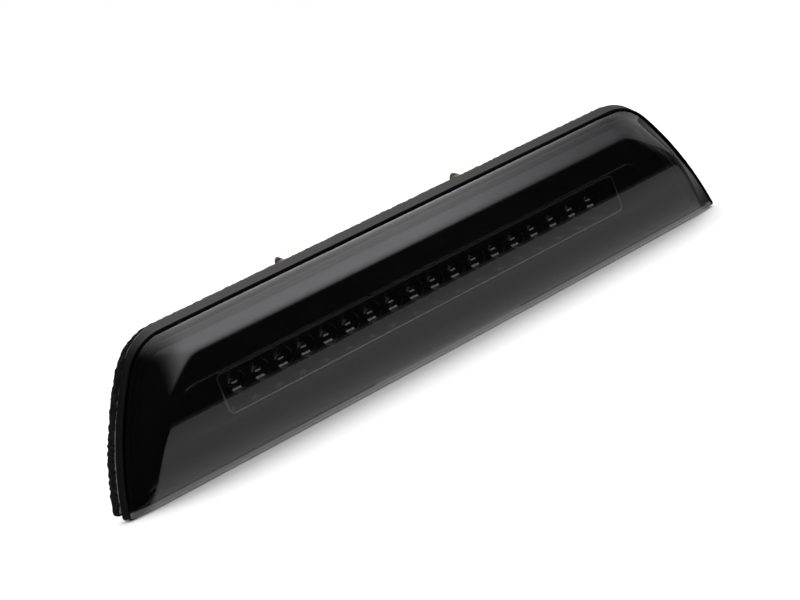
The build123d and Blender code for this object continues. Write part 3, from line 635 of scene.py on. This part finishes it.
def add_shelves(mesh):
    """The trough's lower and upper walls, each with a shallow dip at every LED."""
    columns = LED_COUNT * 16
    lower, upper = [], []
    for t in np.linspace(0, 1, 15):
        depth, half, low, high = trough_at(t)
        fade = sin(pi * min(t * 1.25, 1.0)) ** 0.8 if t < 0.8 else 0.0
        lower.append([])
        upper.append([])
        for c in range(columns + 1):
            x = -half + 2 * half * c / columns
            turn = 2 * pi * (x * LED_ROW_HALF / half - LED_PITCH / 2) / LED_PITCH
            dip = DIP * (0.5 + 0.5 * cos(turn)) * fade * smooth_step(half - abs(x), 0.0, 3.0)
            lower[-1].append((x, depth, low - dip * DIP_BELOW + DIP_LIFT * fade))
            upper[-1].append((x, depth, high + dip * DIP_ABOVE))
    mesh.grid(lower)
    mesh.grid(upper)


def add_ribbed_ends(mesh):
    """The trough's two end walls, with their fine ribs."""
    for sign in (-1, 1):
        rows = []
        for t in np.linspace(0, 1, 61):
            depth, half, low, high = trough_at(t)
            rib = END_RIB_SIZE * abs(sin(pi * t * END_RIBS)) ** 0.6
            x = sign * (half - rib * min(1, 6 * (1 - t)))
            rows.append([(x, depth, h) for h in np.linspace(low - END_BELOW, high + END_ABOVE, 9)])
        mesh.grid(rows)


def mouth_lip():
    """A fine rolled edge round the trough's mouth."""
    loop = []
    half_h = (MOUTH_HIGH - MOUTH_LOW) / 2
    for sign_x, sign_h, start in ((1, 1, 0), (-1, 1, 90), (-1, -1, 180), (1, -1, 270)):
        for a in np.radians(np.linspace(start, start + 90, 9)):
            x = sign_x * (MOUTH_HALF - LIP_RADIUS) + LIP_RADIUS * cos(a)
            loop.append((x, MOUTH_MIDDLE + sign_h * (half_h - LIP_RADIUS) + LIP_RADIUS * sin(a)))
    loop = resampled(loop, 1.0)
    normals = loop_normals(loop)
    rows = [at_depth(loop + normals * LIP_REACH, LIP_BACK)]
    for a in np.linspace(0, pi, 9):
        rolled = loop + normals * LIP_REACH / 2 * (1 + cos(a))
        rows.append(at_depth(rolled, LIP_BASE + LIP_RISE * sin(a)))
    return rows


def build_reflector(material, lip_material):
    """The trough: cups, dipping shelves and ribbed ends, with a fine front lip that carries a painted glint
    and painted shade on its upper half.
    """
    mesh = Mesher()
    for x in LED_PLACES:
        cup_cell(mesh, x)
    for sign in (-1, 1):
        ends = (sign * LED_ROW_HALF, sign * REAR_HALF)
        mesh.grid([[(x, PLATE_DEPTH, h) for x in ends] for h in (REAR_LOW, REAR_HIGH)])
    add_shelves(mesh)
    add_ribbed_ends(mesh)
    mesh.piece("reflector_trough", "reflector_chrome", material, "led_reflector")
    lip = Mesher()
    lip.grid(mouth_lip(), closed=True)
    lip.piece("trough_lip", "reflector_chrome", lip_material)


def build_leds(package, bright):
    """Each LED's package, painted dark as shade, and the two plated ledges above and below its dome."""
    packages, ledges = Mesher(), Mesher()
    for x in LED_PLACES:
        packages.box(
            (x - PACKAGE_HALF, PACKAGE_BACK, LED_HEIGHT - PACKAGE_HALF),
            (x + PACKAGE_HALF, PACKAGE_FRONT, LED_HEIGHT + PACKAGE_HALF),
        )
        for half, above, width in LEDGES:
            low = LED_HEIGHT + above
            profile = [(LEDGE_BACK, low)]
            for share in (0, 0.5, 1):
                profile.append((LEDGE_FRONT + width * LEDGE_LEAN * (1 - share), low + width * share))
            profile.append((LEDGE_BACK, low + width))
            ledges.grid([[(x - half, depth, h), (x + half, depth, h)] for depth, h in profile])
    piece = packages.piece("led_bodies", "led_body", package, "led_packages")
    bevelled(piece, 0.12, 35)
    for flat in (piece, ledges.piece("led_ledges", "reflector_chrome", bright)):
        flat.data.shade_flat()


# ---------- gasket and its adhesive
# Insets are (side, bottom, top); the gasket and the film are stuck on a little to the left.
GASKET_THICKNESS = 3.0
GASKET_OUTER = (-1.2, 3.0, 0.0)
GASKET_SHIFT = -1.3
BODY_RING = (16.2, 13.2, 8.7)
ADHESIVE_OUTER = (0.3, 2.6, -0.3)
ADHESIVE_SHIFT = -0.9
FLANGE_BACK = 3.4
ADHESIVE_BACK, ADHESIVE_FRONT = GASKET_THICKNESS - 0.12, FLANGE_BACK - 0.03


def wobble(x, h, size, seed):
    """A smooth pseudo-random value at a point, between about -1 and 1."""
    return noise.noise(Vector((x / size, h / size, seed)))


def boxy(value, power):
    """A sine or cosine drawn towards a square wave, for a cross-section with full edges."""
    return copysign(abs(value) ** power, value)


def smoothed_loop(loop, passes):
    """A closed loop with its kinks evened out."""
    for _ in range(passes):
        loop = (np.roll(loop, 1, axis=0) + loop * 2 + np.roll(loop, -1, axis=0)) / 4
    return loop


def ring_mesh(outer_insets, shift, step, sections, shape):
    """A closed ring between an inset outline and the housing's body.

    shape(part_way, x, h) gives (share across, depth) round the cross-section.
    """
    outer = resampled(outline_loop(*outer_insets), step) + (shift, 0)
    body = np.array(outline_loop(*BODY_RING))
    nearest = [body[np.argmin(np.linalg.norm(body - point, axis=1))] for point in outer]
    inner = smoothed_loop(np.array(nearest), 6)
    rows = []
    for t in np.arange(sections) / sections:
        row = []
        for (ox, oh), (ix, ih) in zip(outer, inner):
            across, depth = shape(t, ox, oh)
            row.append((ox + (ix - ox) * across, depth, oh + (ih - oh) * across))
        rows.append(row)
    mesh = Mesher()
    mesh.grid(rows + rows[:1], closed=True)
    return mesh


def gasket_section(t, x, h):
    """The foam's cross-section: full edges, slightly uneven where it was cut."""
    a = 2 * pi * t
    across = 0.5 - 0.5 * boxy(cos(a), 0.25)
    depth = GASKET_THICKNESS / 2 + GASKET_THICKNESS / 2 * boxy(sin(a), 0.3)
    crumb = wobble(x, h, 2.2, t * 3.1) * 0.5 + wobble(x, h, 0.9, 7 + t * 9) * 0.3
    edge = (1 - across) ** 4
    across = across + 0.075 * crumb * edge + 0.01
    return across, min(max(depth + 0.22 * crumb * edge * sin(a), 0.0), GASKET_THICKNESS)


def adhesive_section(t, x, h):
    """The film's cross-section, its cut edge uneven."""
    a = 2 * pi * t
    across = 0.5 - 0.5 * boxy(cos(a), 0.3)
    middle, half = (ADHESIVE_BACK + ADHESIVE_FRONT) / 2, (ADHESIVE_FRONT - ADHESIVE_BACK) / 2
    depth = middle + half * boxy(sin(a), 0.4)
    ragged = wobble(x, h, 3.0, 21.0) * 0.55 + wobble(x, h, 1.1, 33.0) * 0.45
    edge = (1 - across) ** 3
    return across + (0.02 + 0.05 * ragged) * edge, depth + 0.05 * wobble(x, h, 2.0, 5.0) * edge


def build_gasket(material):
    """The foam ring behind the flange."""
    mesh = ring_mesh(GASKET_OUTER, GASKET_SHIFT, 0.9, 28, gasket_section)
    mesh.piece("gasket_ring", "gasket_foam", material, "foam_gasket")


def build_adhesive(material):
    """The thin pale film between the flange and the foam."""
    mesh = ring_mesh(ADHESIVE_OUTER, ADHESIVE_SHIFT, 0.7, 12, adhesive_section)
    mesh.piece("adhesive_film", "adhesive_film", material, "gasket_adhesive")


# ---------- spring clips and cable
# Both are drawn straight in row-frame millimetres, y being the depth behind the lamp's seat plane.
CLIP_THICKNESS = 0.7
CLIP_BEND_RADIUS = 4.0
CLIP_BEND_Y = 13.0
CLIP_COLUMNS = 17
CLIP_EDGE = 0.35
CABLE_RADIUS = 2.4
CABLE_OUT = 3.0
CABLE_BEND = 9.0


def directions(path):
    """Unit vectors along a path of points."""
    along = np.gradient(np.array(path, float), axis=0)
    return along / np.linalg.norm(along, axis=1)[:, None]


def clip_path(foot_start_y, seat_z, tip_y, leaf_drop):
    """The clip's centre line in (y, z): along the foot, round the bend, forwards along the leaf."""
    centre = seat_z + CLIP_THICKNESS / 2
    path = [(y, centre) for y in np.linspace(foot_start_y, CLIP_BEND_Y, 22)]
    for a in np.linspace(0, pi, 15)[1:]:
        path.append((CLIP_BEND_Y + CLIP_BEND_RADIUS * sin(a), centre + CLIP_BEND_RADIUS * (1 - cos(a))))
    crest = centre + 2 * CLIP_BEND_RADIUS
    for t in np.linspace(0, 1, 17)[1:]:
        path.append((CLIP_BEND_Y + (tip_y - CLIP_BEND_Y) * t, crest - leaf_drop * t ** 1.7))
    return path


def build_clip(side, material):
    """One bent strip of spring steel, from its foot on the lamp round to its leaf."""
    foot_low, foot_high = box_mm(f"clip_foot_{side}")
    leaf_low, leaf_high = box_mm(f"clip_leaf_{side}")
    middle = (foot_low.x + foot_high.x) / 2
    half = (foot_high.x - foot_low.x) / 2
    leaf_drop = leaf_high.z - CLIP_THICKNESS - leaf_low.z
    path = clip_path(foot_low.y + 0.05, foot_low.z, leaf_low.y + 0.1, leaf_drop)
    rows = []
    for (y, z), (along_y, along_z) in zip(path, directions(path)):
        ring = []
        for face in (1, -1):
            for x in np.linspace(-half, half, CLIP_COLUMNS)[::face]:
                thinned = 1 - CLIP_EDGE * smooth_step(abs(x), half - CLIP_EDGE, half)
                lift = face * CLIP_THICKNESS / 2 * thinned
                ring.append((middle + x, y - along_z * lift, z + along_y * lift))
        rows.append(ring)
    mesh = Mesher()
    mesh.bar(rows)
    piece = mesh.strip(f"spring_clip_{side}", material)
    bevelled(piece, 0.15, 40)
    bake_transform(piece)
    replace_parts(piece, f"clip_foot_{side}", f"clip_leaf_{side}")


def tube(path, radius, segments):
    """Rows of rings along a path of (x, y, z) points that never runs straight up."""
    angles = np.linspace(0, 2 * pi, segments, endpoint=False)
    rows = []
    for centre, along in zip(np.array(path, float), directions(path)):
        side = np.cross((0, 0, 1.0), along)
        side /= np.linalg.norm(side)
        up = np.cross(along, side)
        rows.append([centre + radius * (cos(a) * side + sin(a) * up) for a in angles])
    return rows


def cable_path(x, swing_y, z):
    """The cable's centre line: through the grommet, round a bend, then along to the plug."""
    terminal_low, terminal_high = box_mm("connector_terminals")
    drop = (terminal_low.z + terminal_high.z) / 2 - z
    out_y = swing_y + CABLE_OUT
    bend_x = x - CABLE_BEND
    run = box_mm("connector_housing")[1].x - 1.0 - bend_x
    path = [(x, y, z) for y in np.linspace(box_mm("cable_entry")[0].y, out_y, 24)]
    for a in np.linspace(0, pi / 2, 15)[1:]:
        path.append((x - CABLE_BEND * (1 - cos(a)), out_y + CABLE_BEND * sin(a), z))
    for t in np.linspace(0, 1, 41)[1:]:
        path.append((bend_x + run * t, out_y + CABLE_BEND, z + drop * smooth_step(t, 0, 1)))
    return path


def build_cable(material):
    """The sheathed cable: through the grommet on the lamp, then along the pigtail to the plug."""
    swing = next(j for j in frame["joints"] if j["name"] == "pigtail_swing")["pos_m"]
    x, swing_y, z = (value / MM for value in swing)
    rows = tube(cable_path(x, swing_y, z), CABLE_RADIUS, 24)
    mesh = Mesher()
    mesh.bar(rows)
    piece = mesh.strip("sheathed_cable", material)
    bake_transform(piece)
    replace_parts(piece, "cable_entry", "pigtail_cable")


# ---------- materials
LENS_TINT = (0.50, 0.50, 0.52, 1.0)
LENS_TINT_WORN = (0.46, 0.46, 0.4784, 1.0)
# Painted glow on the lens's lowest edge, and the heights in millimetres over which it fades out.
PAINTED_EDGE_GLOW = 0.065
PAINTED_EDGE_GLOW_HEIGHTS = (3.4, 2.6)
DUST = (0.35, 0.34, 0.32, 1.0)
WHITE = (1, 1, 1, 1)
# Grain that is drawn out along the lamp, or the same all ways.
ALONG_LAMP, EVEN = (0.15, 1, 1), (1, 1, 1)


class Nodes:
    """Small helper for writing node trees."""

    def __init__(self, tree):
        self.tree = tree
        tree.nodes.clear()

    def put(self, socket, value):
        """Links a socket to another socket, or sets its value."""
        if isinstance(value, bpy.types.NodeSocket):
            self.tree.links.new(value, socket)
        else:
            socket.default_value = value

    def new(self, kind, operation=None, **inputs):
        """A node with its inputs filled: i0 is input 0, and Base_Color is the input "Base Color"."""
        node = self.tree.nodes.new("ShaderNode" + kind)
        if operation:
            node.operation = operation
        for key, value in inputs.items():
            numbered = key[0] == "i" and key[1:].isdigit()
            self.put(node.inputs[int(key[1:]) if numbered else key.replace("_", " ")], value)
        return node

    def where(self):
        """Each point's place in its object's own space."""
        return self.new("TexCoord").outputs["Object"]

    def height(self, where):
        """The Z of a place."""
        return self.new("SeparateXYZ", Vector=where).outputs["Z"]

    def math(self, operation, a, b=0.0, c=0.0):
        return self.new("Math", operation, i0=a, i1=b, i2=c).outputs[0]

    def times(self, *values):
        """The product of several values."""
        return functools.reduce(lambda a, b: self.math("MULTIPLY", a, b), values)

    def most(self, *values):
        """The largest of several values."""
        return functools.reduce(lambda a, b: self.math("MAXIMUM", a, b), values)

    def line(self, value, slope, base):
        return self.math("MULTIPLY_ADD", value, slope, base)

    def step(self, value, low, high):
        """Smooth 0 to 1 ramp of value between low and high."""
        node = self.new("MapRange", i0=value, i1=low, i2=high, i3=0.0, i4=1.0)
        node.interpolation_type = "SMOOTHSTEP"
        return node.outputs[0]

    def span(self, value, low, high, out_low, out_high):
        """Straight ramp from out_low to out_high of value between low and high."""
        return self.new("MapRange", i0=value, i1=low, i2=high, i3=out_low, i4=out_high).outputs[0]

    def noise(self, where, size, detail=3.0, roughness=0.55):
        """Noise of a size in millimetres."""
        scale = 1.0 / (size * MM)
        node = self.new("TexNoise", Vector=where, Scale=scale, Detail=detail, Roughness=roughness)
        return node.outputs["Fac"]

    def mix(self, share, a, b):
        """The colour a share of the way from a to b."""
        node = self.new("Mix")
        node.data_type = "RGBA"
        for index, value in ((0, share), (6, a), (7, b)):
            self.put(node.inputs[index], value)
        return node.outputs[2]

    def bump(self, height, strength, distance, normal=None):
        """A normal tilted by a height, its distance in millimetres."""
        node = self.new("Bump", Height=height, Strength=strength, Distance=distance * MM)
        if normal is not None:
            self.put(node.inputs["Normal"], normal)
        return node.outputs[0]

    def blended(self, share, a, b):
        """One shader fading into another."""
        return self.new("MixShader", i0=share, i1=a, i2=b).outputs[0]

    def principled(self, **inputs):
        return self.new("BsdfPrincipled", **inputs).outputs[0]

    def output(self, shader, kind="OutputMaterial"):
        self.new(kind, Surface=shader)


def new_material(name):
    """A material, its node helper and the place that its textures use."""
    made = bpy.data.materials.new(name)
    made.use_nodes = True
    n = Nodes(made.node_tree)
    return made, n, n.where()


def rgba(value, scale=1.0):
    """A colour from a grey value or three parts, scaled and kept below white."""
    parts = (value,) * 3 if isinstance(value, (int, float)) else value
    return (*(min(1.0, part * scale) for part in parts), 1.0)


def surface(
    name, colour, roughness, grain=0.4, grain_depth=0.01, wave=25.0, wave_depth=0.0,
    metallic=0.0, variation=0.15, specular=0.5, dust=0.0,
):
    """A moulded or drawn surface: fine grain, slow waviness, and uneven colour and gloss."""
    made, n, where = new_material(name)
    fine = n.noise(where, grain, 4.0)
    slow = n.noise(where, wave)
    blotch = n.noise(where, wave * 0.35, 5.0)
    blend = n.line(blotch, 0.6, n.times(fine, 0.4))
    tint = n.mix(blend, rgba(colour, 1 - variation), rgba(colour, 1 + variation))
    if dust:
        specks = n.step(n.noise(where, 0.8, 5.0, 0.7), 0.62, 0.78)
        tint = n.mix(n.times(specks, dust), tint, DUST)
    unevenness = n.line(fine, 0.5, n.times(slow, 0.5))
    rough = n.span(unevenness, 0.3, 0.7, roughness - 0.08, roughness + 0.08)
    normal = n.bump(fine, 0.6, grain_depth)
    if wave_depth:
        normal = n.bump(slow, 0.5, wave_depth, normal)
    n.output(n.principled(
        Base_Color=tint, Roughness=rough, Metallic=metallic, Specular_IOR_Level=specular, Normal=normal,
    ))
    return made


def clear_body(n, tint, roughness, normal, reflectance):
    """See-through plastic: tinted, with mirror gloss from both sides that grows at a glancing view."""
    glossy = n.new("BsdfAnisotropic", Color=WHITE, Roughness=roughness, Normal=normal).outputs[0]
    clear = n.new("BsdfTransparent", Color=tint).outputs[0]
    facing = n.new("LayerWeight", Blend=0.5, Normal=normal).outputs["Facing"]
    share = n.line(n.math("POWER", facing, 5.0), 1 - reflectance, reflectance)
    return n.blended(share, clear, glossy)


def smoked_lens_material():
    """Smoked plastic with moulding ripple and haze; its lowest edge has a faint painted glow, an emission
    that stands in for light.
    """
    made, n, where = new_material("smoked_lens")
    normal = n.bump(n.noise(where, 30.0, 2.0), 0.1, 0.03)
    rough = n.span(n.noise(where, 14.0, 4.0), 0.35, 0.7, 0.03, 0.07)
    tint = n.mix(n.noise(where, 60.0, 2.0), LENS_TINT, LENS_TINT_WORN)
    body = clear_body(n, tint, rough, normal, 0.04)
    # Painted glow: forward-facing faces in the lowest band emit a faint light.
    painted_glow_band = n.step(n.height(where), *((BOTTOM_Z + height) * MM for height in PAINTED_EDGE_GLOW_HEIGHTS))
    facing = n.new("NewGeometry").outputs["Normal"]
    across = n.new("SeparateXYZ", Vector=facing).outputs["Y"]
    painted_glow = n.times(painted_glow_band, n.step(across, -0.2, -0.5), PAINTED_EDGE_GLOW)
    edge = n.new("Emission", Color=WHITE, Strength=painted_glow).outputs[0]
    n.output(n.new("AddShader", i0=body, i1=edge).outputs[0])
    return made


def dome_material():
    """Clear silicone with a warm tint."""
    made, n, where = new_material("led_dome")
    normal = n.bump(n.noise(where, 0.6, 2.0), 0.2, 0.01)
    tint = n.mix(n.noise(where, 1.5, 2.0), rgba((0.88, 0.84, 0.74)), rgba((0.80, 0.76, 0.68)))
    n.output(clear_body(n, tint, 0.06, normal, 0.05))
    return made


def chrome_material(name, dull, fresh):
    """Vacuum-metallised plastic, slightly uneven, seen through the smoked lens."""
    made, n, where = new_material(name)
    haze = n.noise(where, 6.0, 5.0)
    tint = n.mix(haze, rgba(dull), rgba(fresh))
    rough = n.span(haze, 0.3, 0.7, 0.07, 0.16)
    normal = n.bump(n.noise(where, 3.0), 0.25, 0.05)
    n.output(n.principled(Base_Color=tint, Metallic=1.0, Roughness=rough, Normal=normal))
    return made


def painted_glint_material(name, glow, painted_shade_above=None):
    """A plated edge with a painted glint, an emission that stands in for light from the cup round it, and
    painted shade above a height.
    """
    made, n, where = new_material(name)
    wear_and_glint_noise = n.noise(where, 1.2)
    tint = n.mix(wear_and_glint_noise, rgba((0.70, 0.70, 0.68)), rgba((0.86, 0.86, 0.84)))
    # Painted shade: above the given height the plating is darkened most of the way to black.
    if painted_shade_above is not None:
        middle = BOTTOM_Z + painted_shade_above
        upper = n.step(n.height(where), (middle - 3.0) * MM, (middle + 3.0) * MM)
        tint = n.mix(n.times(upper, 0.8), tint, rgba(0.02))
    # Painted glint: the plating glows, though it is no lamp.
    painted_glow = n.line(wear_and_glint_noise, glow * 0.8, glow * 0.6)
    n.output(n.principled(
        Base_Color=tint, Metallic=1.0, Roughness=0.18, Normal=n.bump(wear_and_glint_noise, 0.3, 0.02),
        Emission_Color=tint, Emission_Strength=painted_glow,
    ))
    return made


def foam_material():
    """Cut closed-cell foam: small pits painted darker as shade, paler cell walls and a dry surface."""
    made, n, where = new_material("gasket_foam")
    cells = n.new("TexVoronoi", Vector=where, Scale=1 / (0.75 * MM)).outputs["Distance"]
    coarse = n.noise(where, 2.5, 5.0, 0.65)
    # Painted shade: each cell's pit is coloured darker towards its middle; coarse noise varies the tone.
    walls = n.times(n.step(cells, 0.1, 0.6), coarse)
    tint = n.mix(walls, rgba((0.0006, 0.0006, 0.0007)), rgba((0.017, 0.0165, 0.016)))
    normal = n.bump(cells, 0.9, 0.25, n.bump(coarse, 0.6, 0.25))
    n.output(n.principled(Base_Color=tint, Roughness=0.92, Normal=normal, Specular_IOR_Level=0.05))
    return made


def steel_material(name, colour, rough, grain_way):
    """Bare metal: fine lines drawn out along one direction, soft stains and a satin shine."""
    made, n, where = new_material(name)
    drawn = n.new("VectorMath", "MULTIPLY", i0=where, i1=grain_way).outputs[0]
    lines = n.noise(drawn, 0.35, 4.0, 0.6)
    stain = n.noise(where, 4.0, 4.0)
    unevenness = n.line(lines, 0.5, n.times(stain, 0.5))
    n.output(n.principled(
        Base_Color=n.mix(stain, rgba(colour), rgba(colour, 0.72)),
        Metallic=1.0,
        Roughness=n.span(unevenness, 0.3, 0.7, rough - 0.08, rough + 0.1),
        Normal=n.bump(lines, 0.35, 0.02),
    ))
    return made


# ---------- pieces that keep their CAD shape
WELD_DISTANCE = 0.5e-6


def dress(node, material, width=0.0):
    """Gives a CAD node its finish, rounding its edges if a width is given."""
    piece = frame["nodes"][node]
    piece.data.materials.clear()
    piece.data.materials.append(material)
    piece.modifiers.new("weld", "WELD").merge_threshold = WELD_DISTANCE
    if width:
        bevelled(piece, width, 32)
    piece.modifiers.new("smooth_by_angle", "EDGE_SPLIT").split_angle = radians(34)
    piece.data.shade_smooth()


# ---------- studio
AIM = Vector((-13.48, -1.55, 29.09))
AZIMUTH, ELEVATION, ROLL = -30.0, 11.5, 20.73
DISTANCE = 786.82
LENS_MM = 80.1
SENSOR_MM = 36.0
NEAREST, FARTHEST = 0.01, 50.0

LIGHT_PLACE = Vector((0.0, 0.25, 1.3))
LIGHT_SIZE = (1.6, 1.2)
LIGHT_POWER = 9.0

FLOOR_HALF = 12.0
FLOOR_GAP = 0.0002
FLOOR_TINTS = (0.86, 0.88)

# What shiny surfaces see, in a room tilted with the lamp: a softbox above, a pale table in front, a
# pale wall behind and a card to the right. Each pair is where a patch starts and where it is full.
STUDIO_UP = Vector((0.0, -0.380, 0.925)).normalized()
STUDIO_FORWARD = Vector((0, -STUDIO_UP.z, STUDIO_UP.y))
SOFTBOX, SIDE_CARD, DOME, DARK = 2.3, 0.17, 1.15, 0.03
BOX_NEAR, BOX_FAR = (0.52, 0.40), (-7.0, -5.0)
BOX_LEFT, BOX_RIGHT, BOX_RIGHT_DROP = (-0.50, 0.36), (0.66, 0.50), 0.7
BOX_HORIZON = (0.0, 0.05)
TABLE_NORMAL = Vector((-0.28, -0.372, 1.028))
TABLE_EDGE, TABLE_NEAR = (0.51, 0.535), (0.57, 0.92)
TABLE_LEFT, TABLE_RIGHT = (-0.45, -0.25), (0.98, 0.70)
TABLE_BELOW, TABLE_FRONT = (0.32, 0.5), (0.0, 0.3)
TABLE_GLOW = 0.62
WALL_BACK, WALL_TOP = (0.0, -0.35), (0.12, -0.02)
WALL_LEFT, WALL_RIGHT, WALL_SIDES = (-0.35, -0.05), (0.74, 0.60), 0.06
CARD = (0.64, 0.82)


def build_camera():
    """The photograph's viewpoint, aimed by its azimuth, elevation and roll."""
    camera = add_object("camera", bpy.data.cameras.new("camera"))
    azimuth, elevation, roll = (radians(a) for a in (AZIMUTH, ELEVATION, ROLL))
    level_back = Vector((sin(azimuth), -cos(azimuth), 0)) * cos(elevation)
    back = level_back + Vector((0, 0, sin(elevation)))
    aim = (AIM + Vector((0, 0, BOTTOM_Z))) * MM
    level = Vector((0, 0, 1)).cross(back).normalized()
    up = back.cross(level)
    right = level * cos(roll) - up * sin(roll)
    top = level * sin(roll) + up * cos(roll)
    axes = Matrix((right, top, back)).transposed().to_4x4()
    camera.matrix_world = Matrix.Translation(aim + back * DISTANCE * MM) @ axes
    camera.data.lens = LENS_MM
    camera.data.sensor_width = SENSOR_MM
    camera.data.clip_start, camera.data.clip_end = NEAREST, FARTHEST
    scene.camera = camera


def build_light():
    """One large soft light overhead, which shiny surfaces don't show."""
    light = bpy.data.lights.new("overhead", "AREA")
    light.shape = "RECTANGLE"
    light.size, light.size_y = LIGHT_SIZE
    light.energy = LIGHT_POWER
    lamp = add_object("overhead", light)
    lamp.location = LIGHT_PLACE
    lamp.rotation_euler = (-LIGHT_PLACE).to_track_quat("-Z", "Y").to_euler()
    lamp.visible_glossy = False


def build_floor():
    """A plain pale floor just under the lamp."""
    mesh = bpy.data.meshes.new("floor")
    z = cad_box[0].z - FLOOR_GAP
    corners = [(x * FLOOR_HALF, y * FLOOR_HALF, z) for x, y in ((-1, -1), (1, -1), (1, 1), (-1, 1))]
    mesh.from_pydata(corners, [], [(0, 1, 2, 3)])
    floor = add_object("floor", mesh)
    made, n, where = new_material("floor")
    tint = n.mix(n.noise(where, 400.0), *(rgba(grey) for grey in FLOOR_TINTS))
    normal = n.bump(n.noise(where, 2.0), 0.05, 0.02)
    n.output(n.new("BsdfDiffuse", Color=tint, Normal=normal).outputs[0])
    mesh.materials.append(made)
    floor.visible_glossy = False


def reflected_glow(n):
    """How bright the studio is in each direction, as a shiny surface shows it."""
    way = n.new("TexCoord").outputs["Generated"]

    def along(axis):
        return n.new("VectorMath", "DOT_PRODUCT", i0=way, i1=tuple(axis)).outputs["Value"]

    x, height, forward = along((1, 0, 0)), along(STUDIO_UP), along(STUDIO_FORWARD)
    onto_table = along(-TABLE_NORMAL)
    table = n.times(
        n.step(onto_table, *TABLE_EDGE),
        n.step(x, *TABLE_LEFT),
        n.step(x, *TABLE_RIGHT),
        n.most(n.step(along((0, 0, -1)), *TABLE_BELOW), n.step(forward, *TABLE_FRONT)),
        n.line(n.step(onto_table, *TABLE_NEAR), TABLE_GLOW, TABLE_GLOW),
    )
    on_ceiling = n.math("DIVIDE", forward, n.most(height, 0.001))
    box = n.times(
        n.step(on_ceiling, *BOX_NEAR),
        n.step(on_ceiling, *BOX_FAR),
        n.line(n.step(x, *BOX_RIGHT), BOX_RIGHT_DROP, 1 - BOX_RIGHT_DROP),
        n.step(x, *BOX_LEFT),
        n.step(height, *BOX_HORIZON),
    )
    beside = n.times(n.step(x, *WALL_LEFT), n.step(x, *WALL_RIGHT))
    wall = n.times(
        n.step(forward, *WALL_BACK),
        n.step(height, *WALL_TOP),
        n.line(beside, 1 - WALL_SIDES, WALL_SIDES),
    )
    card = n.times(n.step(x, *CARD), SIDE_CARD)
    return n.most(n.math("ADD", n.times(box, SOFTBOX), table), wall, DARK, card)


def build_world():
    """White to the eye, an even dome for light, and a dark studio with a softbox for reflections."""
    world = bpy.data.worlds.new("studio")
    scene.world = world
    world.use_nodes = True
    n = Nodes(world.node_tree)

    def background(strength):
        return n.new("Background", Color=WHITE, Strength=strength).outputs[0]

    rays = n.new("LightPath").outputs
    lit = n.blended(rays["Is Glossy Ray"], background(DOME), background(reflected_glow(n)))
    n.output(n.blended(rays["Is Camera Ray"], lit, background(1.0)), "OutputWorld")


# ---------- everything
def dress_lamp():
    """The housing and the small parts on its back."""
    dress("rear_housing", surface(
        "housing_plastic", 0.004, 0.36, specular=0.28, grain=0.5, grain_depth=0.012, wave=18.0,
        wave_depth=0.05, dust=0.015,
    ))
    dress("lens_sealant", surface("sealant", 0.01, 0.4, grain=1.2, grain_depth=0.05))
    dress("vent_membrane", surface("membrane", (0.72, 0.72, 0.70), 0.8, grain=0.25, grain_depth=0.03))
    dress("vent_cap", surface("vent_plastic", 0.018, 0.45, grain_depth=0.012), 0.25)
    dress("cable_grommet", surface("grommet_rubber", 0.013, 0.62, grain_depth=0.03), 0.35)
    screw = steel_material("screw_steel", (0.58, 0.57, 0.55), 0.32, EVEN)
    dress("board_screws", screw)
    dress("clip_screws", screw)


def dress_board():
    """The circuit board, its parts and the two leads to it."""
    board = surface("board", (0.02, 0.075, 0.04), 0.4, grain=0.5, variation=0.25)
    dress("circuit_board", board, 0.1)
    dress("led_domes", dome_material())
    component = surface("component_black", 0.02, 0.5, grain=0.15)
    for node in ("board_resistors", "protection_diode", "current_regulator"):
        dress(node, component, 0.08)
    can = steel_material("capacitor_can", (0.7, 0.7, 0.72), 0.3, (1, 1, 0.2))
    dress("smoothing_capacitor", can, 0.2)
    dress("inner_lead_supply", surface("lead_red", (0.42, 0.02, 0.012), 0.45, grain=0.3))
    dress("inner_lead_earth", surface("lead_black", 0.012, 0.45, grain=0.3))


def dress_plug():
    """The plug on the pigtail's end."""
    plug = surface("plug_plastic", 0.02, 0.42, grain=0.35, grain_depth=0.015)
    dress("connector_housing", plug, 0.3)
    dress("connector_latch", plug, 0.2)
    tin = steel_material("terminal_tin", (0.72, 0.66, 0.5), 0.3, (0.1, 1, 1))
    dress("connector_terminals", tin, 0.15)
    seal = surface("seal_orange", (0.5, 0.1, 0.02), 0.5, grain=0.3, grain_depth=0.02)
    dress("connector_seal", seal, 0.25)


def build_visible_pieces():
    """The pieces that stand for soft, clear or plated CAD nodes."""
    build_lens(smoked_lens_material())
    build_bezel(surface(
        "bezel_plastic", 0.26, 0.16, grain=2.5, grain_depth=0.002, variation=0.1, metallic=1.0,
    ))
    # Painted shade: the trough's plating is coloured dark, while the same plating on the lip and ledges is
    # painted lit.
    chrome = chrome_material("reflector_chrome", 0.10, 0.15)
    build_reflector(chrome, painted_glint_material("lip_painted_glint", 0.16, painted_shade_above=MOUTH_MIDDLE))
    # Painted shade: the LED packages are coloured near black; their ledges carry a painted glint.
    package = surface("led_body", (0.05, 0.05, 0.048), 0.45, grain=0.2, grain_depth=0.004, variation=0.1)
    build_leds(package, painted_glint_material("ledge_painted_glint", 0.50))
    build_gasket(foam_material())
    build_adhesive(surface(
        "adhesive_film", (0.085, 0.085, 0.082), 0.6, grain=0.8, grain_depth=0.03, variation=0.8, wave=3.0,
    ))
    spring = steel_material("spring_steel", (0.86, 0.82, 0.74), 0.30, ALONG_LAMP)
    for side in ("left", "right"):
        build_clip(side, spring)
    build_cable(surface(
        "cable_sheath", 0.014, 0.5, grain=0.5, grain_depth=0.02, wave=8.0, wave_depth=0.08,
    ))


build_visible_pieces()
dress_lamp()
dress_board()
dress_plug()
build_camera()
build_floor()
build_world()
build_light()
scene.view_settings.view_transform = "Standard"
